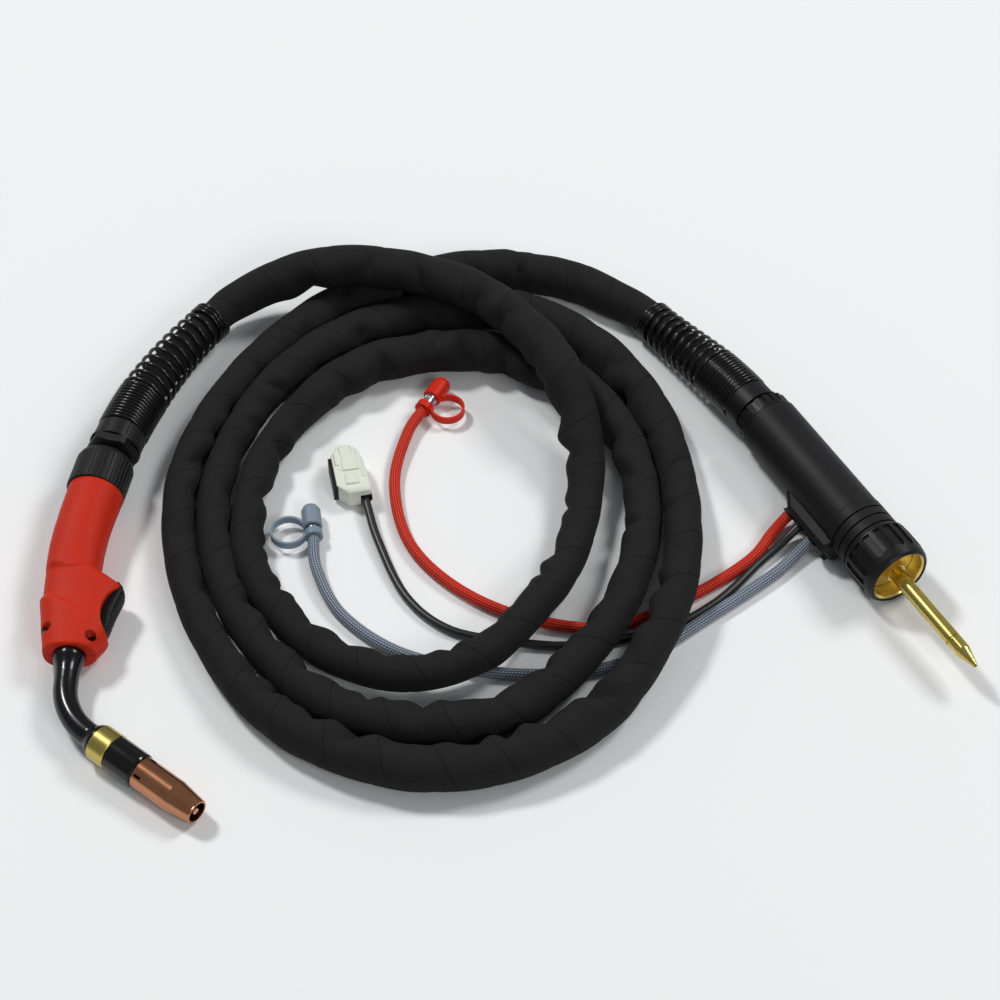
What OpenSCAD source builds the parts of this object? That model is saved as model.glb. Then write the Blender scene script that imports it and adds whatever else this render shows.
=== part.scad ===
// Gas-cooled MIG welding torch: red two-shell handle with trigger, bent neck with
// copper nozzle, long sleeved hose pack laid in three turns, and the central
// connector with its gas hoses and control cable. Millimetres, +Z up. The torch
// lies on its side on the floor, z = 0, and the origin is the middle of its
// footprint without the cords.

/* [Handle] */
// Wall of the handle shells
shell_wall = 2.4; // [1.6:0.2:3]
// Tilt of the handle's rear end, towards the trigger side
rear_tilt = 11; // [6:1:14]
// Length of the spigot that the ring nut screws on
spigot_len = 14; // [10:1:16]
// Diameter of the spigot
spigot_d = 30.4; // [28:0.2:31]
// Diameter of the handle screws' shank
screw_d = 3; // [2.5:0.5:3.5]
// Diameter of the handle screws' head
screw_head_d = 5.4; // [5:0.2:6]

/* [Trigger] */
// Half width of the trigger blade
trigger_half = 8; // [6:0.5:8.5]
// Diameter of the trigger pin
trigger_pin_d = 3; // [2:0.5:3.5]
// Running clearance of the trigger on its pin
pin_fit = 0.06; // [0.03:0.01:0.1]
// Travel of the trigger
trigger_travel = 6; // [3:1:7]
// Number of grip ridges across the trigger
ridge_count = 9; // [5:1:11]

/* [Neck and nozzle] */
// Bend of the swan neck
neck_bend = 51; // [40:1:60]
// Bend radius of the neck's centreline
neck_r = 50; // [40:1:60]
// Length from the handle face to the corner of the neck's two axes
neck_corner = 48.4; // [44:0.2:60]
// Diameter of the neck's insulated tube
neck_d = 16.2; // [14:0.2:18]
// Diameter of the neck's inner tube
core_d = 10; // [8:0.5:11]
// Bore of the inner tube, for the wire liner
liner_d = 5; // [4:0.5:6]
// Distance along the nozzle's axis from the corner to the brass ring
ring_at = 33; // [30:1:38]
// Length of the brass ring
ring_len = 14; // [10:1:18]
// Diameter of the brass ring
ring_d = 25; // [22:0.5:26]
// Length of the insulator
insulator_len = 23.4; // [18:0.2:28]
// Diameter of the insulator
insulator_d = 24.2; // [22:0.2:25]
// Visible straight length of the gas nozzle
nozzle_len = 30; // [24:1:36]
// Length of the nozzle's taper
taper_len = 19; // [14:1:24]
// Diameter of the gas nozzle
nozzle_d = 22.2; // [21:0.2:24]
// Outer diameter of the nozzle's mouth
mouth_d = 17; // [14:0.5:19]
// Wall of the nozzle
nozzle_wall = 1.5; // [1:0.1:2]
// Diameter of the contact tip
tip_d = 6; // [5:0.5:8]
// Wire hole of the contact tip
wire_d = 1.2; // [0.8:0.1:1.6]

/* [Cable support] */
// Diameter of the ring nut
nut_d = 41; // [40:0.5:44]
// Length of the ring nut
nut_len = 31; // [27:1:32]
// Diameter of the swivel ball
ball_d = 27; // [25:0.5:28]
// Play of the ball in its seat, on the radius
ball_fit = 0.35; // [0.2:0.05:0.5]
// Opening of the ring nut round the ball's neck
neck_hole = 24.6; // [24.4:0.1:25]
// Hexagon of the swivel, across flats
hex_af = 34; // [30:1:36]
// Diameter of the spring collar
collar_d = 35.6; // [34:0.2:37]
// Length of the spring collar
collar_len = 14; // [12:1:18]
// Outer diameter of the protection spring at its collar
spring_d = 37.2; // [36:0.2:38]
// Outer diameter of the protection spring at its free end
spring_end_d = 31; // [30:0.2:33]
// Diameter of the spring wire
spring_wire = 2.8; // [2.2:0.1:2.9]
// Bore for the hose pack in the collar
hose_bore = 24; // [23.2:0.2:26]

/* [Connector] */
// Diameter of the connector body at its rear
body_d = 43.6; // [42:0.2:46]
// Diameter of the connector body at its front
body_front_d = 45; // [44:0.2:47]
// Length of the connector body
body_len = 131.5; // [120:0.5:140]
// Largest diameter of the hand nut
hand_d = 49; // [48:0.5:52]
// Diameter of the hand nut's front rim
rim_d = 46.8; // [45:0.2:47.5]
// Length of the hand nut
hand_len = 30.5; // [26:0.5:36]
// Number of flutes round the hand nut
flute_count = 18; // [12:1:20]
// Width of one flute
flute_w = 5; // [4:0.2:5.6]
// Outer diameter of the brass threaded insert
insert_d = 41; // [39:0.2:42]
// Bore of the brass threaded insert
insert_bore = 37.6; // [36:0.2:38.4]
// Depth from the rim to the brass face plate
plate_depth = 12; // [9:0.5:15]
// Diameter of the inlet pipe
pipe_d = 11; // [9:0.5:12]
// Length of the inlet pipe past the rim
pipe_len = 63; // [50:1:80]
// Length of the pipe's pointed end piece
tip_len = 24; // [18:1:30]
// Bore through the inlet pipe
pipe_bore = 5; // [3:0.5:6]

/* [Small hoses and plug] */
// Diameter of the two gas hoses
gas_hose_d = 8; // [6:0.5:8]
// Diameter of the control cable
cable_d = 6; // [5:0.5:6]
// Diameter of the dust caps
cap_d = 13.6; // [12:0.2:14]
// Length of the dust caps
cap_len = 19; // [16:1:24]
// Height of the dust caps' straps
strap_w = 5.6; // [4:0.2:7]
// Thickness of the dust caps' straps
strap_t = 1.6; // [1.2:0.1:2]
// Plug housing length
plug_l = 46; // [40:1:50]
// Plug housing width
plug_w = 24; // [20:1:26]
// Plug housing height
plug_h = 17; // [14:1:20]

/* [Hidden] */
$fn = 48;
eps = 0.01;
gap = 0.3;

red = [0.78, 0.17, 0.10];
black = [0.07, 0.07, 0.08];
grey = [0.47, 0.53, 0.60];
brass = [0.83, 0.66, 0.26];
copper = [0.80, 0.45, 0.28];
steel = [0.66, 0.66, 0.68];
ivory = [0.84, 0.87, 0.78];
sleeve = [0.10, 0.10, 0.11];

// ---- where the torch lies: on the ring nut and on the brass ring ----
torch_pitch = 2;
torch_x = -286;
torch_y = -98;
rear_end = [3.9, 139];
torch_z = nut_d / 2 * cos(torch_pitch) - (rear_end[1] + 1) * sin(torch_pitch);
ball_at = 21;
collar_tilt = 16;
neck_run = neck_corner - neck_r * tan(neck_bend / 2);
neck_arc_end = neck_r * tan(neck_bend / 2);

// ---- where the connector lies ----
conn_x = 181.9;
conn_y = 114.2;
conn_z = hand_d / 2;
conn_turn = -60.9;
body_at = 12;
body_end = body_at + body_len;
rim_at = body_end + hand_len;
plate_at = rim_at - plate_depth;
pipe_end = rim_at + pipe_len;
conn_ball_at = 12;
conn_collar_tilt = -32.5;

module in_torch() {
    translate([torch_x, torch_y, torch_z]) rotate([torch_pitch, 0, 0]) children();
}

// Z along the handle's rear axis, from the handle's end face
module on_rear() {
    in_torch() translate([rear_end[0], rear_end[1], 0]) rotate([-90, 0, -rear_tilt]) children();
}

// Z along the cable's axis, from the swivel ball's centre
module on_swivel() {
    on_rear() translate([0, 0, ball_at]) rotate([0, collar_tilt - rear_tilt, 0]) children();
}

// Z along the nozzle's axis, from the corner of the neck's two axes
module on_nozzle() {
    in_torch() translate([0, -neck_corner, 0]) rotate([90, 0, neck_bend]) children();
}

// Z along the connector towards the pipe, +X down, +Y away from the outlets
module on_connector() {
    translate([conn_x, conn_y, conn_z]) rotate([0, 90, conn_turn]) children();
}

// Z along the cable's axis, from the connector's swivel ball
module on_conn_swivel() {
    on_connector() translate([0, 0, conn_ball_at])
        rotate([0, -90, 0]) rotate([0, 0, -conn_turn]) rotate([-90, 0, -conn_collar_tilt]) children();
}

// ---- shared shapes ----
module tube(d, bore, h) {
    difference() {
        cylinder(d = d, h = h);
        translate([0, 0, -1]) cylinder(d = bore, h = h + 2);
    }
}

module revolve(points) rotate_extrude($fn = 96) polygon(points);

// skin over rings of points, all rings with the same count
function skin_faces(rings, sides) = concat(
    [[for (i = [sides - 1:-1:0]) i]],
    [for (r = [0:rings - 2], i = [0:sides - 1])
        let (a = r * sides + i, b = r * sides + (i + 1) % sides)
        each [[a, b, b + sides], [a, b + sides, a + sides]]],
    [[for (i = [0:sides - 1]) (rings - 1) * sides + i]]);

module skin(rings) {
    sides = len(rings[0]);
    polyhedron([for (r = rings) each r], skin_faces(len(rings), sides), convexity = 6);
}

function unit(v) = v / norm(v);
function across(a, b) = unit(b - a);

// one ring of a tube at point i of a route; r is the tube's own radius there
function route_dir(p, i) = let (n = len(p) - 1)
    i == 0 ? across(p[0], p[1]) :
    i == n ? across(p[n - 1], p[n]) : unit(across(p[i - 1], p[i]) + across(p[i], p[i + 1]));
function tube_ring(p, r, i, sides) = let (t = route_dir(p, i), s = unit(cross(t, [0, 0, 1])), u = cross(s, t))
    [for (k = [0:sides - 1]) let (a = -90 + 360 * k / sides)
        p[i] + r[i] * (cos(a) * s + sin(a) * u)];

// tube swept along a route of [x, y, z, r] points
module cord(route, sides) {
    p = [for (q = route) [q[0], q[1], q[2]]];
    r = [for (q = route) q[3]];
    skin([for (i = [0:len(p) - 1]) tube_ring(p, r, i, sides)]);
}

// ---- handle ----
// stations: [y, skew, left, right, half thickness]; the skew slants the ring so
// that the nose's rear edge runs from the shoulder to the chin
stations = [
    [0, 0, -17.2, 17.2, 13.4], [1, 0, -18, 18, 14.3], [10, 0.35, -19.6, 20.6, 15.4],
    [20, 0.68, -21.8, 23.6, 16], [29, 0.95, -23.8, 25.4, 16.5], [31, 1, -24.4, 25.6, 16.6],
    [33, 1, -23.2, 24.8, 15.7], [38, 0.9, -22.2, 26, 15.8], [46, 0.66, -21.8, 28, 16.2],
    [53, 0.4, -21.8, 30.2, 16.6], [59, 0.15, -22, 30.6, 17], [62, 0.05, -22.1, 27.5, 17],
    [66, 0, -22.3, 19.5, 17], [70, 0, -22.5, 15, 16.8], [78, 0, -22.6, 14.7, 17],
    [90, 0, -22.2, 15.5, 17.5], [105, 0, -20.7, 17.4, 18.3], [120, 0, -18.4, 20, 19],
    [135, 0, -15.5, 23, 19.2], [152, 0, -12.2, 26.3, 19.2]];
skew = 0.72;
handle_sides = 28;

function squircle(c, e) = sign(c) * pow(abs(c), 2 / e);
function station_ring(s, inset, sides) = let (
        c = (s[2] + s[3]) / 2, a = (s[3] - s[2]) / 2 - inset, b = s[4] - inset,
        e = s[0] < 70 ? 2.5 : max(2, 2.5 - (s[0] - 70) / 80))
    [for (k = [0:sides - 1]) let (t = 360 * (k + 0.5) / sides, x = c + a * squircle(cos(t), e))
        [x, s[0] - skew * s[1] * x, b * squircle(sin(t), e)]];

module handle_form(inset) {
    rings = inset == 0 ? stations : [for (s = stations) if (s[0] > 5) s];
    skin([for (s = rings) station_ring(s, inset, handle_sides)]);
}

pivot = [14.5, 17];
pocket_at = [47, 28];
pocket_r = 28;
slot_half = trigger_half + 0.4;
pin_half = 5.6;
screws = [[-16, 15], [14.8, 8.6]];
boot_d = 21.7;
boot_seat = 6;

module handle_solid() {
    difference() {
        union() {
            handle_cut_rear();
            rear_local() translate([0, 0, -4]) cylinder(d = spigot_d, h = spigot_len + 4);
        }
        handle_cavity();
        // trigger pocket and the slot behind it, narrower round the pin
        translate([pocket_at[0], pocket_at[1], -30]) cylinder(r = pocket_r, h = 60, $fn = 96);
        translate([9, 13, -pin_half - 0.8]) cube([30, 20, 2 * pin_half + 1.6]);
        translate([9, 22, -slot_half]) cube([30, 36.4, 2 * slot_half]);
        // neck boot and neck tube
        rotate([90, 0, 0]) translate([0, 0, -boot_seat]) cylinder(d = boot_d + 0.4, h = 20);
        rotate([90, 0, 0]) translate([0, 0, -40]) cylinder(d = neck_d + 0.4, h = 60);
        // cable way through the spigot
        rear_local() translate([0, 0, -20]) cylinder(d = spigot_d - 6, h = 60);
    }
}

module rear_local() {
    translate([rear_end[0], rear_end[1], 0]) rotate([-90, 0, -rear_tilt]) children();
}

module handle_cut_rear() {
    difference() {
        handle_form(0);
        rear_local() translate([-50, -50, 0]) cube([100, 100, 60]);
    }
}

module handle_cavity() {
    difference() {
        handle_form(shell_wall);
        rear_local() translate([-50, -50, -shell_wall]) cube([100, 100, 60]);
        // the pocket's own wall, the screw bosses and the pin bosses stay
        translate([pocket_at[0], pocket_at[1], -30]) cylinder(r = pocket_r + shell_wall, h = 60, $fn = 96);
        for (s = screws) translate([s[0], s[1], -20]) cylinder(d = screw_head_d + 3.2, h = 40);
        for (z = [-1, 1]) translate([pivot[0], pivot[1], z > 0 ? pin_half + 0.8 : -pin_half - 20.8])
            cylinder(d = trigger_pin_d + 4, h = 20);
    }
}

module handle_half(up) {
    difference() {
        handle_solid();
        translate([-60, -30, up ? -60 : 0]) cube([140, 240, 60]);
        translate([pivot[0], pivot[1], -9.4]) cylinder(d = trigger_pin_d + 0.02, h = 18.8);
        for (s = screws) translate([s[0], s[1], 0]) {
            translate([0, 0, -7]) cylinder(d = up ? screw_d + 0.6 : screw_d, h = 30);
            if (up) translate([0, 0, 4]) cylinder(d = screw_head_d + 0.8, h = 30);
        }
    }
}

module handle_upper() color(red) in_torch() handle_half(true);
module handle_lower() color(red) in_torch() handle_half(false);

module handle_screws() color(steel) in_torch()
    for (s = screws) translate([s[0], s[1], 0]) {
        translate([0, 0, -6.6]) cylinder(d = screw_d - 0.02, h = 10.7);
        difference() {
            translate([0, 0, 4.05]) cylinder(d = screw_head_d, h = 2);
            translate([0, 0, 5.2]) {
                translate([-2, -0.4, 0]) cube([4, 0.8, 2]);
                translate([-0.4, -2, 0]) cube([0.8, 4, 2]);
            }
        }
    }

// blade of the trigger: [x, y, radius, half width] of the discs it wraps
trigger_discs = [
    [pivot[0], pivot[1], 3.3, pin_half], [21.8, 17.5, 2.7, pin_half], [28.2, 46, 3.4, trigger_half],
    [26.2, 53.8, 3.2, trigger_half - 0.4], [18, 52, 2, trigger_half - 0.4]];

module rounded_disc(r, half, edge) {
    rotate_extrude($fn = 32) polygon([[0, -half], [r - edge, -half], [r - edge * 0.3, -half + edge * 0.3],
        [r, -half + edge], [r, half - edge], [r - edge * 0.3, half - edge * 0.3], [r - edge, half], [0, half]]);
}

module trigger() color(black) in_torch() {
    a = trigger_discs[1];
    b = trigger_discs[2];
    lean = atan2(b[0] - a[0] + b[2] - a[2], b[1] - a[1]);
    difference() {
        union() {
            hull() for (d = trigger_discs) translate([d[0], d[1], 0]) rounded_disc(d[2], d[3], 1.8);
            // grip ridges along the finger face
            for (i = [0:ridge_count - 1]) let (f = (i + 1) / (ridge_count + 0.5))
                translate([a[0] + a[2] + f * (b[0] + b[2] - a[0] - a[2]) - 0.25, a[1] + f * (b[1] - a[1]), 0])
                    cylinder(r = 0.8, h = 2 * (4 + 2 * f), center = true, $fn = 16);
        }
        translate([pivot[0], pivot[1], -20]) cylinder(d = trigger_pin_d + 2 * pin_fit, h = 40);
    }
}

module trigger_pin() color(steel) in_torch()
    translate([pivot[0], pivot[1], -9.2]) cylinder(d = trigger_pin_d, h = 18.4);

switch_at = [3, 36];
switch_size = [8, 17, 10];
button_y = 44;
button_end = 14.6;
button_travel = (button_y - pivot[1]) * sin(trigger_travel);

module switch_body() color(black) in_torch() {
    translate([switch_at[0], switch_at[1], -switch_size[2] / 2]) difference() {
        cube(switch_size);
        translate([1, button_y - switch_at[1], switch_size[2] / 2])
            rotate([0, 90, 0]) cylinder(d = 3.2, h = 10);
        for (y = [3, switch_size[1] - 3]) translate([2.6, y, -1]) cylinder(d = 2, h = 20);
    }
    // rib from the shell that the switch stands on
    translate([switch_at[0] + 1, switch_at[1] + 1, -13]) cube([6, 15, 13 - switch_size[2] / 2 + eps]);
}

module switch_button() color(red) in_torch()
    translate([switch_at[0] + switch_size[0] - 3.6, button_y, 0]) rotate([0, 90, 0])
        cylinder(d = 3, h = button_end - switch_at[0] - switch_size[0] + 3.6);

// ---- neck and nozzle ----
module neck_sweep(d, bore, start, stop) {
    difference() {
        union() {
            rotate([90, 0, 0]) translate([0, 0, -start]) cylinder(d = d, h = start + neck_run);
            translate([neck_r, -neck_run, 0]) rotate([0, 0, 180])
                rotate_extrude(angle = neck_bend) translate([neck_r, 0]) circle(d = d);
            translate([0, -neck_corner, 0]) rotate([90, 0, neck_bend])
                translate([0, 0, neck_arc_end]) cylinder(d = d, h = stop - neck_arc_end);
        }
        rotate([90, 0, 0]) translate([0, 0, -start - 1]) cylinder(d = bore, h = start + 1 + neck_run);
        translate([neck_r, -neck_run, 0]) rotate([0, 0, 180])
            rotate_extrude(angle = neck_bend) translate([neck_r, 0]) circle(d = bore);
        translate([0, -neck_corner, 0]) rotate([90, 0, neck_bend])
            translate([0, 0, neck_arc_end]) cylinder(d = bore, h = stop - neck_arc_end + 1);
    }
}

ring_end = ring_at + ring_len;
insulator_end = ring_end + insulator_len;
taper_at = insulator_end + nozzle_len;
mouth_at = taper_at + taper_len;
seat_d = nozzle_d - 2;
core_end = ring_at + 6;
tip_from = mouth_at - 36;

module neck_boot() color(black) in_torch() rotate([90, 0, 0]) difference() {
    rotate_extrude($fn = 64) polygon([[0, -boot_seat + gap], [boot_d / 2, -boot_seat + gap],
        [boot_d / 2, 4.6], [boot_d / 2 - 0.9, 5.8], [neck_d / 2 + 1.1, 10], [neck_d / 2 + 0.3, 15], [0, 15]]);
    translate([0, 0, -boot_seat - 1]) cylinder(d = neck_d, h = 30);
}

module neck_tube() color(black) in_torch() neck_sweep(neck_d, core_d + 0.1, 30, ring_at + 1);

module neck_core() color(brass) in_torch() neck_sweep(core_d, liner_d, 34, core_end);

module neck_collar() color(black) on_nozzle() difference() {
    rotate_extrude($fn = 64) polygon([[0, ring_at - 7.5], [neck_d / 2 + 0.6, ring_at - 7.5],
        [11, ring_at - 1.6], [11.4, ring_at], [0, ring_at]]);
    translate([0, 0, ring_at - 9]) cylinder(d = neck_d, h = 12);
}

module brass_ring() color(brass) on_nozzle() difference() {
    rotate_extrude($fn = 96) polygon([[0, ring_at], [ring_d / 2 - 0.6, ring_at], [ring_d / 2, ring_at + 0.6],
        [ring_d / 2, ring_end - 0.6], [ring_d / 2 - 0.6, ring_end], [0, ring_end]]);
    translate([0, 0, ring_at - 1]) cylinder(d = neck_d, h = 2 + 1);
    translate([0, 0, ring_at]) cylinder(d = core_d + 2, h = ring_len + 1);
}

module insulator_sleeve() color(black) on_nozzle() difference() {
    rotate_extrude($fn = 96) polygon([[0, ring_end], [insulator_d / 2 - 0.5, ring_end],
        [insulator_d / 2, ring_end + 0.6], [insulator_d / 2, insulator_end - 1.4],
        [insulator_d / 2 - 0.5, insulator_end - 0.3], [insulator_d / 2 - 1, insulator_end], [0, insulator_end]]);
    translate([0, 0, ring_end - 1]) cylinder(d = core_d + 2, h = insulator_len + 2);
    translate([0, 0, ring_end + 4]) cylinder(d = seat_d + 0.2, h = insulator_len);
}

module gas_diffuser() color(brass) on_nozzle() difference() {
    union() {
        translate([0, 0, core_end]) cylinder(d = core_d + 2, h = tip_from - core_end);
        translate([0, 0, ring_at + 1]) tube(core_d + 2, core_d, core_end - ring_at - 1 + eps);
        translate([0, 0, ring_end + 4]) cylinder(d = core_d + 4, h = 3);
    }
    translate([0, 0, core_end - 1]) cylinder(d = liner_d, h = 60);
    translate([0, 0, tip_from - 7]) cylinder(d = tip_d - 1, h = 20);
    for (a = [0:60:300]) rotate([0, 0, a]) translate([0, 0, tip_from - 11]) rotate([0, 90, 0])
        cylinder(d = 1.6, h = 20, $fn = 24);
}

module contact_tip() color(copper) on_nozzle() difference() {
    rotate_extrude($fn = 48) polygon([[0, tip_from - 6], [tip_d / 2 - 0.5, tip_from - 6],
        [tip_d / 2 - 0.5, tip_from], [tip_d / 2, tip_from], [tip_d / 2, mouth_at - 4.5],
        [tip_d / 2 - 0.8, mouth_at - 1], [0, mouth_at - 1]]);
    translate([0, 0, tip_from - 7]) cylinder(d = wire_d, h = 60, $fn = 24);
}

module gas_nozzle() color(copper) on_nozzle() difference() {
    rotate_extrude($fn = 96) polygon([[0, ring_end + 7.5], [seat_d / 2, ring_end + 7.5],
        [seat_d / 2, insulator_end + 0.3], [nozzle_d / 2 - 0.4, insulator_end + 0.3],
        [nozzle_d / 2, insulator_end + 0.8], [nozzle_d / 2, taper_at], [nozzle_d / 2 - 0.5, taper_at + 3],
        [mouth_d / 2, mouth_at - 0.5], [mouth_d / 2 - 0.4, mouth_at], [0, mouth_at]]);
    rotate_extrude($fn = 96) polygon([[0, ring_end + 6], [seat_d / 2 - nozzle_wall, ring_end + 6],
        [seat_d / 2 - nozzle_wall, taper_at], [mouth_d / 2 - nozzle_wall, mouth_at - 2],
        [mouth_d / 2 - nozzle_wall, mouth_at + 1], [0, mouth_at + 1]]);
    // four short slots that let the seat spring
    for (a = [45:90:315]) rotate([0, 0, a]) translate([nozzle_d / 2 - 4, 0, insulator_end + 3]) rotate([0, 90, 0]) {
        cylinder(d = 1.8, h = 8, $fn = 24);
        translate([-4, -0.9, 0]) cube([4, 1.8, 8]);
        translate([-4, 0, 0]) cylinder(d = 1.8, h = 8, $fn = 24);
    }
}

// ---- cable support at the handle ----
module rear_nut() color(black) on_rear() difference() {
    intersection() {
        translate([0, 0, gap]) linear_extrude(nut_len) difference() {
            circle(d = nut_d, $fn = 96);
            for (a = [0:9:351]) rotate(a) translate([nut_d / 2 + 0.35, 0]) circle(r = 0.85, $fn = 16);
        }
        rotate_extrude($fn = 96) polygon([[0, 0], [nut_d / 2 - 0.9, 0], [nut_d / 2, 0.9],
            [nut_d / 2, nut_len - 6], [nut_d / 2 - 1.2, nut_len - 2.4], [nut_d / 2 - 3.6, nut_len], [0, nut_len]]);
    }
    translate([0, 0, -1]) cylinder(d = spigot_d + 0.2, h = ball_at - 4);
    translate([0, 0, -1]) cylinder(d = ball_d + 2 * ball_fit, h = ball_at + 1);
    translate([0, 0, ball_at]) sphere(d = ball_d + 2 * ball_fit, $fn = 96);
    translate([0, 0, ball_at]) cylinder(d = neck_hole, h = 20);
}

stem_at = 30;

module swivel() difference() {
    union() {
        sphere(d = ball_d, $fn = 96);
        cylinder(d = 19, h = 16);
        intersection() {
            translate([0, 0, 14.2]) cylinder(d = hex_af / cos(30), h = 7.6, $fn = 6);
            rotate_extrude($fn = 96) polygon([[0, 13], [15, 14.2], [18.8, 16], [18.8, 22], [0, 22]]);
        }
        translate([0, 0, 21]) cylinder(d = hose_bore - 0.2, h = stem_at - 21 - gap);
    }
    translate([0, 0, -30]) cylinder(d = 15, h = 80);
}

module swivel_ball() color(black) on_swivel() swivel();

module collar(at) {
    difference() {
        union() {
            translate([0, 0, at]) cylinder(d = collar_d + 1.6, h = 1.6);
            translate([0, 0, at + 1.6]) linear_extrude(collar_len - 1.6) difference() {
                circle(d = collar_d, $fn = 96);
                for (a = [-60:8:60]) rotate(a) translate([collar_d / 2 + 0.3, 0]) circle(r = 0.7, $fn = 16);
            }
            translate([0, 0, at + collar_len - 1]) cylinder(d = spring_d - 2 * spring_wire - 3, h = 19);
        }
        translate([0, 0, at - 1]) cylinder(d = hose_bore, h = 60);
    }
}

torch_collar_at = 22;
module torch_collar() color(black) on_swivel() collar(torch_collar_at);

// ---- protection springs: wire wound round an arc in plan ----
// centre of the coil at length s past the start, turning from angle a0 to a1
function arc_point(start, z1, a0, a1, len, s) = let (
        r = len / ((a1 - a0) * PI / 180), a = a0 + (a1 - a0) * s / len, f = s / len)
    [start[0] + r * (cos(a0) - cos(a)), start[1] + r * (sin(a) - sin(a0)),
        start[2] + (z1 - start[2]) * f * f * (3 - 2 * f)];
function arc_side(a0, a1, f) = let (a = a0 + (a1 - a0) * f) [cos(a), -sin(a), 0];
function arc_dir(a0, a1, f) = let (a = a0 + (a1 - a0) * f) [sin(a), cos(a), 0];

coil_steps = 10;
wire_sides = 5;
tight_turns = 12;
end_turns = 3;
tight_pitch = spring_wire + 0.15;

// length along the coil after t turns, with open turns of their own pitch
function coil_s(t, open_turns, pitch) =
    t < tight_turns ? t * tight_pitch :
    t < tight_turns + open_turns ? tight_turns * tight_pitch + (t - tight_turns) * pitch :
    tight_turns * tight_pitch + open_turns * pitch + (t - tight_turns - open_turns) * tight_pitch;

// side: 1 where the plan angle runs towards +X, -1 towards -X
module spring(start, z1, a0, a1, open_turns, pitch, side) {
    turns = tight_turns + open_turns + end_turns;
    total = coil_s(turns, open_turns, pitch);
    r0 = (spring_d - spring_wire) / 2;
    r1 = (spring_end_d - spring_wire) / 2;
    skin([for (i = [0:turns * coil_steps]) let (
            t = i / coil_steps, s = coil_s(t, open_turns, pitch), f = s / total,
            c = arc_point(start, z1, a0, a1, total, s), n = arc_side(a0, a1, f), d = arc_dir(a0, a1, f),
            q = max(0, (s - tight_turns * tight_pitch) / (total - tight_turns * tight_pitch)),
            r = r0 + (r1 - r0) * min(1, q * 1.1),
            e = cos(360 * t) * n + sin(360 * t) * [0, 0, 1])
        [for (k = [0:wire_sides - 1]) let (b = 360 * k / wire_sides,
                w = spring_wire / 2 * (cos(b) * e - side * sin(b) * d), p = c + r * e + w)
            [side * p[0], p[1], p[2]]]]);
}

torch_spring_open = 10;
conn_spring_open = 9;
swivel_end = stem_at + 6;
// start points of the two springs, from the same collars they sit on
ball_local = [rear_end[0] + ball_at * sin(rear_tilt), rear_end[1] + ball_at * cos(rear_tilt)];
torch_start = let (d = torch_collar_at + collar_len + spring_wire / 2 + 0.1,
        x = ball_local[0] + d * sin(collar_tilt), y = ball_local[1] + d * cos(collar_tilt))
    [torch_x + x, torch_y + y * cos(torch_pitch), torch_z + y * sin(torch_pitch)];
conn_collar_at = 13.5;
conn_start = let (d = conn_collar_at + collar_len + spring_wire / 2 + 0.1)
    [-(conn_x + conn_ball_at * cos(conn_turn) + d * sin(conn_collar_tilt)),
        conn_y + conn_ball_at * sin(conn_turn) + d * cos(conn_collar_tilt), conn_z];

module torch_spring() color(black)
    spring(torch_start, 22, collar_tilt, 36, torch_spring_open, 8.4, 1);

module connector_spring() color(black)
    spring(conn_start, spring_end_d / 2 + 0.2, -conn_collar_tilt, 37.5, conn_spring_open, 7.4, -1);

// ---- connector ----
module lock_nut() color(black) on_connector() difference() {
    union() {
        translate([0, 0, 2]) linear_extrude(8) union() {
            circle(d = 39.4, $fn = 96);
            for (a = [0:18:342]) rotate(a) translate([18, -1.7]) square([2.8, 3.4]);
        }
        translate([0, 0, 10]) cylinder(d = 42, h = 1.7);
    }
    translate([0, 0, conn_ball_at]) sphere(d = ball_d + 2 * ball_fit, $fn = 96);
    translate([0, 0, -1]) cylinder(d = 24, h = 8);
}

module connector_ball() color(black) on_conn_swivel() difference() {
    union() {
        sphere(d = ball_d, $fn = 96);
        cylinder(d = 19, h = conn_collar_at + 1);
        translate([0, 0, conn_collar_at + 1]) cylinder(d = hose_bore - 0.2, h = 7.2);
    }
    translate([0, 0, -30]) cylinder(d = 15, h = 80);
}

module connector_collar() color(black) on_conn_swivel() collar(conn_collar_at);

outlet_down = 30;
outlet_reach = 29;
outlets = [[80, 0, gas_hose_d], [92.5, 0, cable_d], [106, 2, gas_hose_d]];

// X towards the outlets' face, Y across it, Z along the connector
module on_outlets() rotate([0, 0, -90 + outlet_down]) children();

screw_s = body_end - 12.5;
ring_grooves = [body_end - 18, body_end - 10.5, body_end - 3];

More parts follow.
